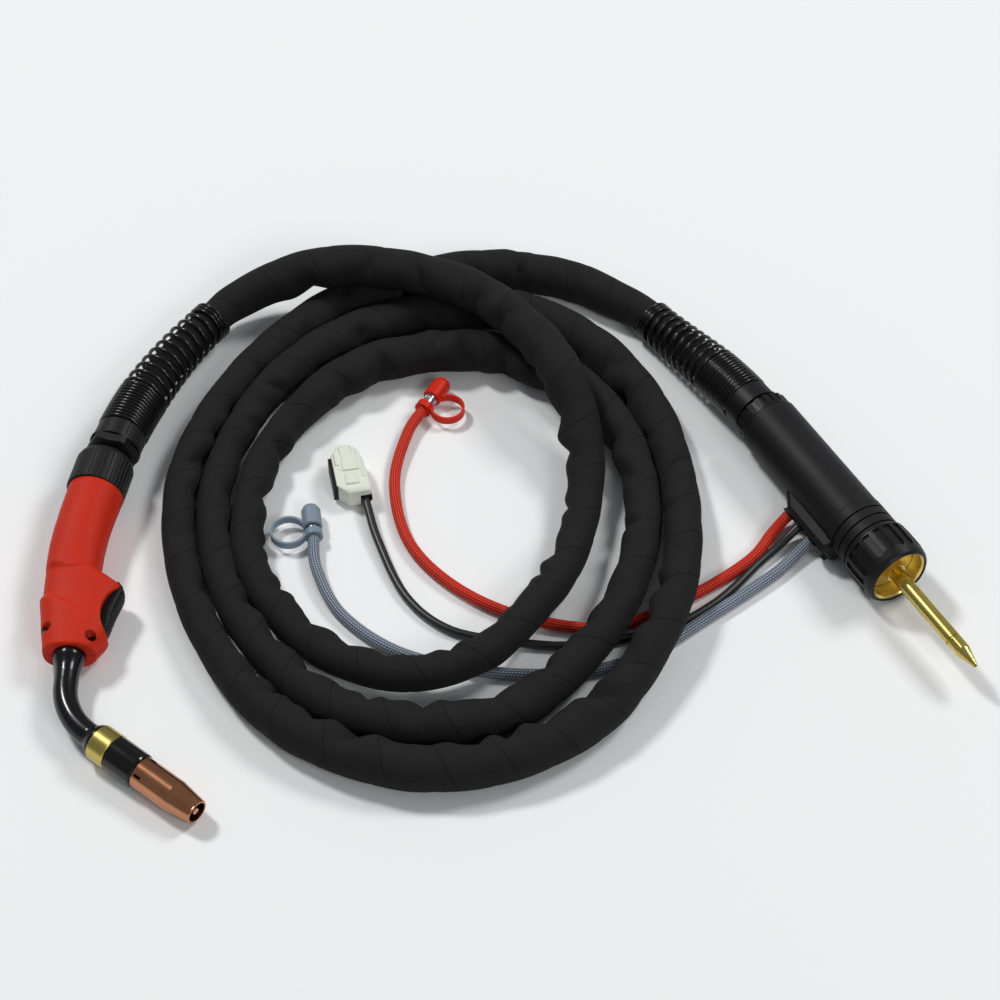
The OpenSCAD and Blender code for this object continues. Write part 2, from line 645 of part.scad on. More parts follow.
module connector_body() color(black) on_connector() difference() {
    union() {
        rotate_extrude($fn = 96) polygon([[0, body_at], [body_d / 2 - 0.8, body_at], [body_d / 2, body_at + 0.8],
            [body_d / 2, body_at + 6], [body_front_d / 2 - 0.5, body_end - 26], [body_front_d / 2, body_end - 25],
            [body_front_d / 2, body_end], [0, body_end]]);
        // outlet housing with its ramp
        on_outlets() rotate([90, 0, 0]) hull()
            for (p = [[10, 58], [25, 82], [25, 123], [10, 127]]) translate([p[0], p[1], 0])
                rounded_disc(4, 10.5, 4);
    }
    for (z = ring_grooves) translate([0, 0, z]) difference() {
        cylinder(d = body_front_d + 4, h = 1.4, $fn = 96);
        translate([0, 0, -1]) cylinder(d = body_front_d - 2.4, h = 4, $fn = 96);
    }
    // seat of the ball and the way through for the cable
    translate([0, 0, conn_ball_at]) sphere(d = ball_d + 2 * ball_fit, $fn = 96);
    translate([0, 0, 20]) cylinder(d = 16, h = body_len);
    // outlets: grommet seats down to the middle
    for (o = outlets) on_outlets() translate([4, o[1], o[0]]) rotate([0, 90, 0])
        cylinder(d = o[2] + 2.4, h = 40);
    on_outlets() translate([outlet_reach - 8, 0, 119.5]) rotate([0, 90, 0]) cylinder(d = 7, h = 20);
    // notch and hole of the body screw
    rotate([0, 0, 70]) translate([body_front_d / 2 - 3.4, -3.6, body_end - 16]) cube([10, 7.2, 7]);
    rotate([0, 0, 70]) translate([10, 0, screw_s]) rotate([0, 90, 0]) cylinder(d = 3, h = 20);
}

module outlet_grommets() color(black) on_connector() on_outlets()
    for (o = outlets) translate([outlet_reach - 9, o[1], o[0]]) rotate([0, 90, 0]) difference() {
        union() {
            cylinder(d = o[2] + 2.2, h = 9);
            translate([0, 0, 9]) cylinder(d = o[2] + 3.6, h = 1.4);
        }
        translate([0, 0, -1]) cylinder(d = o[2] + 0.1, h = 20);
    }

module blank_plug() color(black) on_connector() on_outlets()
    translate([outlet_reach - 7.8, 0, 119.5]) rotate([0, 90, 0]) {
        cylinder(d = 6.9, h = 8);
        translate([-4.2, -4.2, 7.9]) cube([8.4, 8.4, 3]);
    }

module body_screw() color(steel) on_connector() rotate([0, 0, 70])
    translate([0, 0, screw_s]) rotate([0, 90, 0]) difference() {
        union() {
            translate([0, 0, 11]) cylinder(d = 2.98, h = body_front_d / 2 - 3.4 - 11 + 0.1);
            translate([0, 0, body_front_d / 2 - 3.35]) cylinder(d = 5.6, h = 2);
        }
        translate([-3, -0.4, body_front_d / 2 - 2.2]) cube([6, 0.8, 3]);
    }

hand_at = body_end + gap;
module hand_nut() color(black) on_connector() difference() {
    rotate_extrude($fn = 96) polygon([[0, hand_at], [hand_d / 2 - 1, hand_at], [hand_d / 2 - 0.5, hand_at + 1],
        [hand_d / 2, hand_at + 9], [hand_d / 2, rim_at - 9], [rim_d / 2 + 0.3, rim_at - 3.6],
        [rim_d / 2 - 0.6, rim_at - 1.4], [rim_d / 2 - 2, rim_at], [0, rim_at]]);
    translate([0, 0, hand_at - 1]) cylinder(d = insert_d, h = hand_len + 2, $fn = 96);
    // flutes with a round front end
    for (i = [0:flute_count - 1]) rotate([0, 0, 360 * (i + 0.5) / flute_count]) {
        translate([hand_d / 2 - 1.9, -flute_w / 2, hand_at + 2.5]) cube([5, flute_w, hand_len - 12.5]);
        translate([hand_d / 2 - 1.9, 0, hand_at + hand_len - 10]) rotate([0, 90, 0])
            cylinder(d = flute_w, h = 5, $fn = 32);
    }
}

module nut_insert() color(brass) on_connector() translate([0, 0, hand_at + 4]) difference() {
    cylinder(d = insert_d - 0.02, h = rim_at - hand_at - 4.8, $fn = 96);
    translate([0, 0, -1]) cylinder(d = insert_bore, h = 40, $fn = 96);
    translate([0, 0, rim_at - hand_at - 6]) cylinder(d1 = insert_bore, d2 = insert_bore + 3, h = 1.6, $fn = 96);
}

plate_d = insert_bore - 0.8;
boss_len = 8;
groove_w = 1.4;
shank_d = pipe_d + 1;
module face_plate() color(brass) on_connector() difference() {
    union() {
        translate([0, 0, hand_at + 0.5]) cylinder(d = plate_d, h = plate_at - hand_at - 0.5, $fn = 96);
        translate([0, 0, plate_at]) cylinder(d1 = 17, d2 = pipe_d + 3, h = boss_len);
        translate([0, 0, body_end - 20]) cylinder(d = 15.8, h = 22);
    }
    translate([0, 0, body_end - 21]) cylinder(d = pipe_bore, h = 80);
    translate([0, 0, plate_at - 4]) cylinder(d = shank_d, h = 20);
    for (a = [35, 215]) rotate([0, 0, a]) translate([13, 0, plate_at - 10]) cylinder(d = 3.6, h = 20, $fn = 32);
}

module inlet_pipe() color(brass) on_connector() difference() {
    union() {
        translate([0, 0, plate_at - 4]) cylinder(d = pipe_d - 0.02, h = pipe_end - plate_at + 4);
        translate([0, 0, plate_at - 4]) cylinder(d = shank_d - 0.02, h = 4 + boss_len);
    }
    translate([0, 0, plate_at - 5]) cylinder(d = pipe_bore, h = 200);
    // groove behind the tip, and the undercut at the shoulder
    translate([0, 0, pipe_end - groove_w]) difference() {
        cylinder(d = pipe_d + 2, h = groove_w + 1);
        translate([0, 0, -1]) cylinder(d = pipe_d - 1.6, h = groove_w + 3);
    }
    translate([0, 0, plate_at + boss_len]) difference() {
        cylinder(d = pipe_d + 2, h = 1);
        translate([0, 0, -1]) cylinder(d = pipe_d - 1, h = 3);
    }
}

module pipe_tip() color(brass) on_connector() difference() {
    intersection() {
        translate([0, 0, pipe_end]) rotate([0, 0, 15]) cylinder(d = pipe_d + 0.8, h = tip_len, $fn = 6);
        rotate_extrude($fn = 64) polygon([[0, pipe_end], [pipe_d / 2 - 0.8, pipe_end], [pipe_d / 2 - 0.1, pipe_end + 0.8],
            [pipe_d / 2 - 0.1, pipe_end + 9.5], [1.5, pipe_end + tip_len], [0, pipe_end + tip_len]]);
    }
    translate([0, 0, pipe_end - 1]) cylinder(d = 2, h = tip_len + 2, $fn = 24);
}

// ---- small hoses, dust caps and plug ----
red_end = [-57.5, 134.5];
red_turn = -28;
grey_end = [-130, 13];
grey_turn = 8;
fit_z = cap_d / 2 + 0.2;

// Z along a hose's end, from the strap's ring
module on_hose_end(at, turn) translate([at[0], at[1], fit_z]) rotate([-90, 0, turn]) children();

// quick-connector nipple with its barb and two grooves
module fitting() difference() {
    rotate_extrude($fn = 48) polygon([[0, 5.4], [4.4, 5.4], [4.4, 8.6], [3.4, 9.2], [3.4, 11], [4.8, 11.6],
        [4.8, 15], [3.6, 16], [3.6, 22], [3, 25], [0, 25]]);
    translate([0, 0, 2]) cylinder(d = 4, h = 40);
}

ring_in = gas_hose_d + 0.1;
// cap_from: where the cap's rim stands past the ring's front face
module dust_cap(at, turn, cap_from, centre, a0, sweep) {
    on_hose_end(at, turn) {
        tube(12.6, ring_in, 5.2);
        difference() {
            rotate_extrude($fn = 64) polygon([[0, cap_from], [cap_d / 2 - 0.6, cap_from], [cap_d / 2, cap_from + 0.6],
                [cap_d / 2, cap_from + cap_len - 4], [cap_d / 2 - 1.4, cap_from + cap_len - 1],
                [cap_d / 2 - 3.4, cap_from + cap_len], [0, cap_from + cap_len]]);
            translate([0, 0, cap_from - 1]) cylinder(d = 9.6, h = cap_len - 3);
        }
    }
    translate([centre[0], centre[1], fit_z - strap_w / 2]) rotate([0, 0, a0])
        rotate_extrude(angle = sweep, $fn = 96) translate([centre[2], 0]) square([strap_t, strap_w]);
}

module red_fitting() color(steel) on_hose_end(red_end, red_turn) fitting();
module grey_fitting() color(steel) on_hose_end(grey_end, grey_turn) fitting();
module red_cap() color(red) dust_cap(red_end, red_turn, 13, [-39.7, 135.5, 10.8], 185, 290);
module grey_cap() color(grey) dust_cap(grey_end, grey_turn, 9, [-147.7, 17.6, 11.2], 33, 315);

// X across the plug, Y along it towards its closed end
plug_at = [-107, 70];
plug_turn = 11;
module on_plug() translate([plug_at[0], plug_at[1], 0]) rotate([0, 0, plug_turn]) children();

module plug_housing() color(ivory) on_plug() difference() {
    hull() {
        translate([-plug_w / 2, -plug_l / 2 + 6, 0.2]) cube([plug_w, plug_l - 16, plug_h]);
        translate([-plug_w / 2 + 6, -plug_l / 2, 1.2]) cube([plug_w - 8, plug_l, plug_h - 4]);
        translate([-plug_w / 2 + 4, -plug_l / 2 + 8, 1.2]) cube([plug_w - 8, plug_l - 14, plug_h]);
    }
    // pocket of the contact face, cable mouth and the latch's seats
    translate([-plug_w / 2 - 1, -plug_l / 2 + 7, 2.2]) cube([5, plug_l - 18, plug_h - 4]);
    translate([4, -plug_l / 2 - 1, 2.4]) cube([8.4, 12, 8.6]);
    for (y = [-12, 6]) translate([-3, y, plug_h - 0.4]) cube([8, 8, 3]);
}

module plug_face() color(black) on_plug() difference() {
    translate([-plug_w / 2 - 2, -plug_l / 2 + 7.1, 2.3]) cube([5.9, plug_l - 18.2, plug_h - 4.2]);
    for (y = [-10, 3]) translate([-plug_w / 2 - 3, y, plug_h / 2]) rotate([0, 90, 0]) cylinder(d = 3.4, h = 5);
}

module plug_gland() color(black) on_plug()
    translate([8.2, -plug_l / 2 + 0.4, 6.6]) rotate([-90, 0, 0]) tube(8, cable_d + 0.1, 10);

module plug_latch() color(ivory) on_plug()
    for (y = [-11.9, 6.1]) translate([-2.9, y, plug_h - 0.35]) difference() {
        cube([7.8, 7.8, 2.2]);
        for (x = [1.6, 4.4]) translate([x, -1, 1.4]) cube([1.6, 10, 2]);
    }

// ---- free cords: [x, y, z, radius], laid by hand ----
pack_route = [
    [-269.4, 92.5, 22.3, 11.5], [-255, 134, 22.3, 11.5], [-243, 161, 22.2, 11.5], [-227, 189, 22, 11.5], [-210, 215, 22, 11.5],
    [-196, 229, 24, 14], [-163, 243, 33, 15], [-121, 245, 45, 15], [-70, 238, 46, 15],
    [-18, 215, 46, 15], [20, 174, 46, 15], [43, 132, 45, 15], [56, 90, 27, 14],
    [57, 45, 15, 12.5], [45, -12, 15, 12], [19, -64, 22, 12], [-14, -102, 22, 12],
    [-62, -118, 21, 12], [-112, -98, 15, 12], [-150, -57, 12, 11.5], [-174, -7, 12, 11.5],
    [-173, 62, 12, 11.5], [-152, 115, 13, 12.5], [-110, 164, 15, 14.5], [-54, 185, 15, 15],
    [4, 182, 15, 15], [55, 150, 15, 14.5], [87, 98, 14, 13], [97, 35, 13, 12.5],
    [90, -22, 19, 12.5], [63, -88, 22, 12.5], [8, -143, 16, 14], [-55, -155, 15, 14],
    [-114, -137, 14, 13.5], [-158, -92, 13, 12], [-188, -36, 12, 11.5], [-200, 30, 12, 11.5],
    [-194, 88, 12, 11.5], [-164, 154, 14, 13], [-117, 200, 15, 15], [-54, 225, 15, 15],
    [9, 228, 15, 15], [66, 191, 15, 15], [106, 128, 14, 14], [122, 60, 13, 13],
    [122, -15, 22, 13], [107, -76, 22, 13], [68, -140, 16, 14.5], [12, -179, 15, 15],
    [-54, -190, 15, 15], [-117, -170, 15, 14.5], [-166, -129, 14, 13], [-204, -62, 12, 11.5],
    [-222, 5, 12, 11.5], [-222, 75, 12, 11.5], [-197, 146, 13, 12], [-149, 210, 15, 14.5],
    [-90, 252, 15, 15], [-18, 272, 15, 15], [46, 262, 15, 15], [86, 238, 15, 14],
    [107, 221, 16, 11.5], [140, 177, 20, 11.5], [176, 122, 24, 11.5]];
red_route = [
    [204.9, 35.5, 14, 4], [196.6, 30.8, 8.5, 4], [186, 19, 5, 4], [168, -6, 4, 4], [126, -38, 4, 4], [74, -64, 4, 4], [20, -58, 4, 4],
    [-29, -32, 4, 4], [-64, 10, 4, 4], [-76, 65, 4, 4], [-68, 112, 6, 4], [-55, 139.3, 7, 4]];
grey_route = [
    [218.4, 13.2, 12.3, 4], [210.1, 8.6, 6.8, 4], [198, -4, 4.5, 4], [182, -20, 4, 4], [140, -54, 4, 4], [95, -88, 4, 4], [50, -103, 4, 4],
    [-8, -103, 4, 4], [-67, -87, 4, 4], [-108, -54, 4, 4], [-127, -15, 6, 4], [-130.8, 18.3, 7, 4]];
cable_route = [
    [211, 24.6, 14, 3], [202.7, 19.9, 8.5, 3], [192, 10, 4.5, 3], [176, -6, 3, 3], [144, -42, 3, 3], [106, -66, 3, 3], [50, -79, 3, 3],
    [5, -76, 3, 3], [-37, -65, 3, 3], [-66, -36, 3, 3], [-86, 12, 5, 3], [-96, 50, 6.6, 3]];

module hose_pack() color(sleeve) cord(pack_route, 10);
module red_hose() color(red) cord(red_route, 8);
module grey_hose() color(grey) cord(grey_route, 8);
module control_cable() color(black) cord(cable_route, 8);

handle_upper();
handle_lower();
handle_screws();
trigger();
trigger_pin();
switch_body();
switch_button();
rear_nut();
swivel_ball();
torch_collar();
torch_spring();
neck_boot();
neck_tube();
neck_core();
neck_collar();
brass_ring();
insulator_sleeve();
gas_diffuser();
contact_tip();
gas_nozzle();
hose_pack();
connector_spring();
connector_collar();
connector_ball();
lock_nut();
connector_body();
outlet_grommets();
blank_plug();
body_screw();
hand_nut();
nut_insert();
face_plate();
inlet_pipe();
pipe_tip();
red_hose();
red_fitting();
red_cap();
grey_hose();
grey_fitting();
grey_cap();
control_cable();
plug_housing();
plug_face();
plug_gland();
plug_latch();
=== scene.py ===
import math

import bpy
import numpy as np
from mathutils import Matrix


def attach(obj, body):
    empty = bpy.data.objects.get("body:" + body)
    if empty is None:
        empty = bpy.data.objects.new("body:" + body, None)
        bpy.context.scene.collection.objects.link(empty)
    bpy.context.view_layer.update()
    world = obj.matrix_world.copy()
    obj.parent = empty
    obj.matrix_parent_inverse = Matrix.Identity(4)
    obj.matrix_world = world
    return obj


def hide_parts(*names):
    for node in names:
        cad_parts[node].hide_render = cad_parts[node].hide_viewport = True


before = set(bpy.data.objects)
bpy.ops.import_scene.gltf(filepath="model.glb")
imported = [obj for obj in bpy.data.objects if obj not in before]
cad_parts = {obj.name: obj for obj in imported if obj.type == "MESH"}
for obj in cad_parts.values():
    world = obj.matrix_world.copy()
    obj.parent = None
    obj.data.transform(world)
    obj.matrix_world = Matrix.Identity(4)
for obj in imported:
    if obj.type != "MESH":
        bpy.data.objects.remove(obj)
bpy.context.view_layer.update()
MM = 0.001


# ---- shader maths -----------------------------------------------------------
class Num:
    """A number socket: arithmetic on it adds Math nodes."""

    def __init__(self, mat, socket):
        self.mat, self.socket = mat, socket

    def _op(self, kind, a, b=None, c=None):
        inputs = {i: v for i, v in enumerate((a, b, c)) if v is not None}
        return Num(self.mat, self.mat.node("Math", {"operation": kind}, inputs).outputs[0])

    def __add__(self, other): return self._op("ADD", self, other)
    def __radd__(self, other): return self._op("ADD", other, self)
    def __sub__(self, other): return self._op("SUBTRACT", self, other)
    def __rsub__(self, other): return self._op("SUBTRACT", other, self)
    def __mul__(self, other): return self._op("MULTIPLY", self, other)
    def __rmul__(self, other): return self._op("MULTIPLY", other, self)
    def __truediv__(self, other): return self._op("DIVIDE", self, other)
    def __abs__(self): return self._op("ABSOLUTE", self)
    def __gt__(self, other): return self._op("GREATER_THAN", self, other)
    def sin(self): return self._op("SINE", self)
    def frac(self): return self._op("FRACT", self)
    def smooth(self, low, high):
        """0 below low, 1 above high, a smooth step between."""
        n = self.mat.node("MapRange", {"interpolation_type": "SMOOTHSTEP"}, {0: self, 1: low, 2: high})
        return Num(self.mat, n.outputs[0])


class Mat:
    """A material with one Principled shader, built node by node."""

    def __init__(self, name, **constants):
        self.data = bpy.data.materials.new(name)
        self.data.use_nodes = True
        self.tree = self.data.node_tree
        self.shader = self.tree.nodes["Principled BSDF"]
        for key, value in constants.items():
            self.shader.inputs[key.replace("_", " ")].default_value = value
        self.data.diffuse_color = constants["Base_Color"]

    def node(self, kind, settings=None, inputs=None):
        n = self.tree.nodes.new("ShaderNode" + kind)
        for key, value in (settings or {}).items():
            setattr(n, key, value)
        for key, value in (inputs or {}).items():
            if isinstance(value, Num):
                value = value.socket
            if isinstance(value, bpy.types.NodeSocket):
                self.tree.links.new(value, n.inputs[key])
            else:
                n.inputs[key].default_value = value
        return n

    def feed(self, key, value):
        self.tree.links.new(value.socket if isinstance(value, Num) else value, self.shader.inputs[key])

    def place(self):
        return self.node("TexCoord").outputs["Object"]

    def uv(self):
        s = self.node("SeparateXYZ", None, {0: self.node("TexCoord").outputs["UV"]})
        return Num(self, s.outputs[0]), Num(self, s.outputs[1])

    def noise(self, scale, detail=4, rough=0.55):
        n = self.node("TexNoise", None, {"Vector": self.place(), "Scale": scale, "Detail": detail, "Roughness": rough})
        return Num(self, n.outputs["Fac"])

    def tint(self, mask, low, high):
        """Colour that goes from low to high with the mask."""
        n = self.node("Mix", {"data_type": "RGBA"}, {"Factor": mask, 6: (*low, 1), 7: (*high, 1)})
        return n.outputs[2]

    def blend(self, mask, low, high):
        """Like tint, but low is a colour socket."""
        n = self.node("Mix", {"data_type": "RGBA"}, {"Factor": mask, 6: low, 7: (*high, 1)})
        return n.outputs[2]

    def bump(self, height, depth, strength=1.0):
        n = self.node("Bump", None, {"Strength": strength, "Distance": depth, "Height": height})
        self.feed("Normal", n.outputs[0])


def along(mat, vector, origin):
    """Distance in metres along a direction, from an origin, of each point."""
    v = mat.node("VectorMath", {"operation": "SUBTRACT"}, {0: mat.place(), 1: origin}).outputs[0]
    return Num(mat, mat.node("VectorMath", {"operation": "DOT_PRODUCT"}, {0: v, 1: vector}).outputs["Value"])


# ---- surfaces ---------------------------------------------------------------
def grid_mesh(name, points, wrap_v=False, caps=False, uv=None, smooth=True):
    """Surface through an nu x nv grid of points, faces outwards for u x v; caps
    close the two ends of a surface that wraps in v with flat faces."""
    nu, nv = points.shape[:2]
    i = np.arange(nu - 1)
    j = np.arange(nv if wrap_v else nv - 1)
    a, b = np.meshgrid(i, j, indexing="ij")
    a2, b2 = (a + 1) % nu, (b + 1) % nv
    quads = np.stack([a * nv + b, a2 * nv + b, a2 * nv + b2, a * nv + b2], -1).reshape(-1, 4)
    loops = quads.ravel()
    starts = np.arange(len(quads)) * 4
    counts = np.full(len(quads), 4)
    if caps:
        first, last = np.arange(nv), np.arange(nv)[::-1] + (nu - 1) * nv
        loops = np.concatenate([loops, first, last])
        starts = np.concatenate([starts, [len(quads) * 4, len(quads) * 4 + nv]])
        counts = np.concatenate([counts, [nv, nv]])
    mesh = bpy.data.meshes.new(name)
    mesh.vertices.add(nu * nv)
    mesh.vertices.foreach_set("co", np.ascontiguousarray(points, dtype=np.float32).ravel())
    mesh.loops.add(len(loops))
    mesh.loops.foreach_set("vertex_index", loops.astype(np.int32))
    mesh.polygons.add(len(starts))
    mesh.polygons.foreach_set("loop_start", starts.astype(np.int32))
    mesh.polygons.foreach_set("loop_total", counts.astype(np.int32))
    flags = np.full(len(starts), smooth)
    if caps:
        flags[-2:] = False
    mesh.polygons.foreach_set("use_smooth", flags)
    if uv is not None:
        u, v = uv
        layer = mesh.uv_layers.new(name="uv")
        turn = np.stack([b, b, b + 1, b + 1], -1).reshape(-1)
        uvs = np.stack([u[loops[:len(turn)] // nv], v[turn]], -1)
        if caps:
            uvs = np.concatenate([uvs, np.zeros((2 * nv, 2))])
        layer.data.foreach_set("uv", uvs.astype(np.float32).ravel())
    mesh.update(calc_edges=True)
    mesh.validate()
    obj = bpy.data.objects.new(name, mesh)
    bpy.context.scene.collection.objects.link(obj)
    return obj


def spline(route, step):
    """Smooth curve through a route of (x, y, z, r) points: Catmull-Rom, each
    point weighted by (1, t, t^2, t^3), then points at even steps of length."""
    p = np.asarray(route, float)
    q = np.vstack([2 * p[0] - p[1], p, 2 * p[-1] - p[-2]])
    t = np.linspace(0, 1, 24, endpoint=False)[:, None]
    out = []
    for a, b, c, d in zip(q, q[1:], q[2:], q[3:]):
        out.append(0.5 * (2 * b + (c - a) * t + (2 * a - 5 * b + 4 * c - d) * t ** 2
                          + (3 * b - a - 3 * c + d) * t ** 3))
    out = np.vstack(out + [p[-1:]])
    s = np.concatenate([[0], np.cumsum(np.linalg.norm(np.diff(out[:, :3], axis=0), axis=1))])
    n = int(s[-1] / step) + 1
    even = np.linspace(0, s[-1], n)
    return np.stack([np.interp(even, s, out[:, k]) for k in range(4)], -1), even


def rings(p):
    """Directions along and across a curve: side is level, up is square to both."""
    d = np.gradient(p[:, :3], axis=0)
    d /= np.linalg.norm(d, axis=1)[:, None]
    side = np.cross(d, [0, 0, 1.0])
    side /= np.linalg.norm(side, axis=1)[:, None]
    return d, side, np.cross(side, d)


def tube(name, p, s, sides, radius=None):
    """Tube round a curve: centre + r (cos a side + sin a up), r per ring and angle;
    nothing goes lower than just over the floor."""
    _, side, up = rings(p)
    a = np.linspace(0, 2 * math.pi, sides, endpoint=False)[None, :, None]
    r = p[:, 3, None, None] if radius is None else radius[:, :, None]
    pts = p[:, None, :3] + r * (np.cos(a) * side[:, None] + np.sin(a) * up[:, None])
    pts[:, :, 2] = np.maximum(pts[:, :, 2], 0.0002)
    return grid_mesh(name, pts, wrap_v=True, caps=True, uv=(s, np.linspace(0, 1, sides + 1)))


def finish_piece(obj, mat, body, *nodes, slot=None):
    obj.data.materials.append(mat.data)
    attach(obj, body)
    if nodes:
        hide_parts(*nodes)
    return obj


# ---- camera, floor and light --------------------------------------------------
cam = bpy.data.objects.new("camera", bpy.data.cameras.new("camera"))
cam.data.lens, cam.data.sensor_width, cam.data.clip_end = 100.8, 36, 20
cam.location = (-0.002, 0.054 - 1.96 * math.cos(math.radians(48)), 1.96 * math.sin(math.radians(48)))
cam.rotation_euler = (math.radians(42), 0, 0)
bpy.context.scene.collection.objects.link(cam)
bpy.context.scene.camera = cam
bpy.context.scene.view_settings.view_transform = "Standard"

u, v = np.meshgrid(np.linspace(-6, 6, 3), np.linspace(-6, 6, 3), indexing="ij")
floor = grid_mesh("floor", np.stack([u, v, 0 * u - 0.0001], -1), smooth=False)
floor_mat = Mat("floor_paper", Base_Color=(0.87, 0.88, 0.88, 1), Roughness=0.5)
floor_mat.shader.inputs["Specular IOR Level"].default_value = 0.3
floor.data.materials.append(floor_mat.data)

world = bpy.data.worlds.new("room")
world.use_nodes = True
world.node_tree.nodes["Background"].inputs[0].default_value = (0.95, 0.97, 1.0, 1)
world.node_tree.nodes["Background"].inputs[1].default_value = 0.22
bpy.context.scene.world = world


def lamp(name, at, target, size, power):
    data = bpy.data.lights.new(name, "AREA")
    data.shape, data.size, data.size_y, data.energy = "RECTANGLE", size[0], size[1], power
    obj = bpy.data.objects.new(name, data)
    obj.location = at
    look = np.array(target, float) - np.array(at, float)
    obj.rotation_euler = (math.atan2(math.hypot(look[0], look[1]), -look[2]), 0,
                          math.atan2(look[1], look[0]) - math.pi / 2)
    bpy.context.scene.collection.objects.link(obj)


lamp("key", (-2.5, 2.1, 4.0), (0, 0, 0), (0.8, 0.8), 128)
lamp("right", (2.7, 1.7, 3.4), (0, 0, 0), (1.2, 1.2), 78)
lamp("front", (1.6, -2.6, 2.4), (0.2, 0, 0), (1.4, 1.0), 34)

# ---- cords: (x, y, z, radius) in millimetres, the source's own routes ------------
WRAP_PITCH = 0.0385
PACK = [
    (-269.4, 92.5, 22.3, 12), (-255, 134, 22.3, 12.2), (-243, 161, 22.2, 12.3),
    (-227, 189, 22, 12.2), (-210, 215, 22, 12.2),
    (-196, 229, 24, 13.6), (-163, 243, 33, 15), (-121, 245, 45, 15), (-70, 238, 46, 15),
    (-18, 215, 46, 15), (20, 174, 46, 15), (43, 132, 45, 15), (56, 90, 27, 14),
    (57, 45, 15, 12.5), (45, -12, 15, 12), (19, -64, 22, 12), (-14, -102, 22, 12),
    (-62, -118, 21, 12), (-112, -98, 15, 12), (-150, -57, 12, 11.5), (-174, -7, 12, 11.5),
    (-173, 62, 12, 11.5), (-152, 115, 13, 12.5), (-110, 164, 15, 14.5), (-54, 185, 15, 15),
    (4, 182, 15, 15), (55, 150, 15, 14.5), (87, 98, 14, 13), (97, 35, 13, 12.5),
    (90, -22, 19, 12.5), (63, -88, 22, 12.5), (8, -143, 16, 14), (-55, -155, 15, 14),
    (-114, -137, 14, 13.5), (-158, -92, 13, 12), (-188, -36, 12, 11.5), (-200, 30, 12, 11.5),
    (-194, 88, 12, 11.5), (-164, 154, 14, 13), (-117, 200, 15, 15), (-54, 225, 15, 15),
    (9, 228, 15, 15), (66, 191, 15, 15), (106, 128, 14, 14), (122, 60, 13, 13),
    (122, -15, 22, 13), (107, -76, 22, 13), (68, -140, 16, 14.5), (12, -179, 15, 15),
    (-54, -190, 15, 15), (-117, -170, 15, 14.5), (-166, -129, 14, 13), (-204, -62, 12, 11.5),
    (-222, 5, 12, 11.5), (-222, 75, 12, 11.5), (-197, 146, 13, 12), (-149, 210, 15, 14.5),
    (-90, 252, 15, 15), (-18, 272, 15, 15), (46, 262, 15, 15), (86, 238, 15, 14),
    (107, 221, 16, 12.3), (140, 177, 20, 12.2), (176, 122, 24, 12)]
RED = [
    (204.9, 35.5, 14, 4), (196.6, 30.8, 8.5, 4), (186, 19, 5, 4), (168, -6, 4, 4),
    (126, -38, 4, 4), (74, -64, 4, 4), (20, -58, 4, 4), (-29, -32, 4, 4), (-64, 10, 4, 4),
    (-76, 65, 4, 4), (-68, 112, 6, 4), (-55, 139.3, 7, 4)]
GREY = [
    (218.4, 13.2, 12.3, 4), (210.1, 8.6, 6.8, 4), (198, -4, 4.5, 4), (182, -20, 4, 4),
    (140, -54, 4, 4), (95, -88, 4, 4), (50, -103, 4, 4), (-8, -103, 4, 4), (-67, -87, 4, 4),
    (-108, -54, 4, 4), (-127, -15, 6, 4), (-130.8, 18.3, 7, 4)]
CABLE = [
    (211, 24.6, 14, 3), (202.7, 19.9, 8.5, 3), (192, 10, 4.5, 3), (176, -6, 3, 3),
    (144, -42, 3, 3), (106, -66, 3, 3), (50, -79, 3, 3), (5, -76, 3, 3), (-37, -65, 3, 3),
    (-66, -36, 3, 3), (-86, 12, 5, 3), (-96, 50, 6.6, 3)]


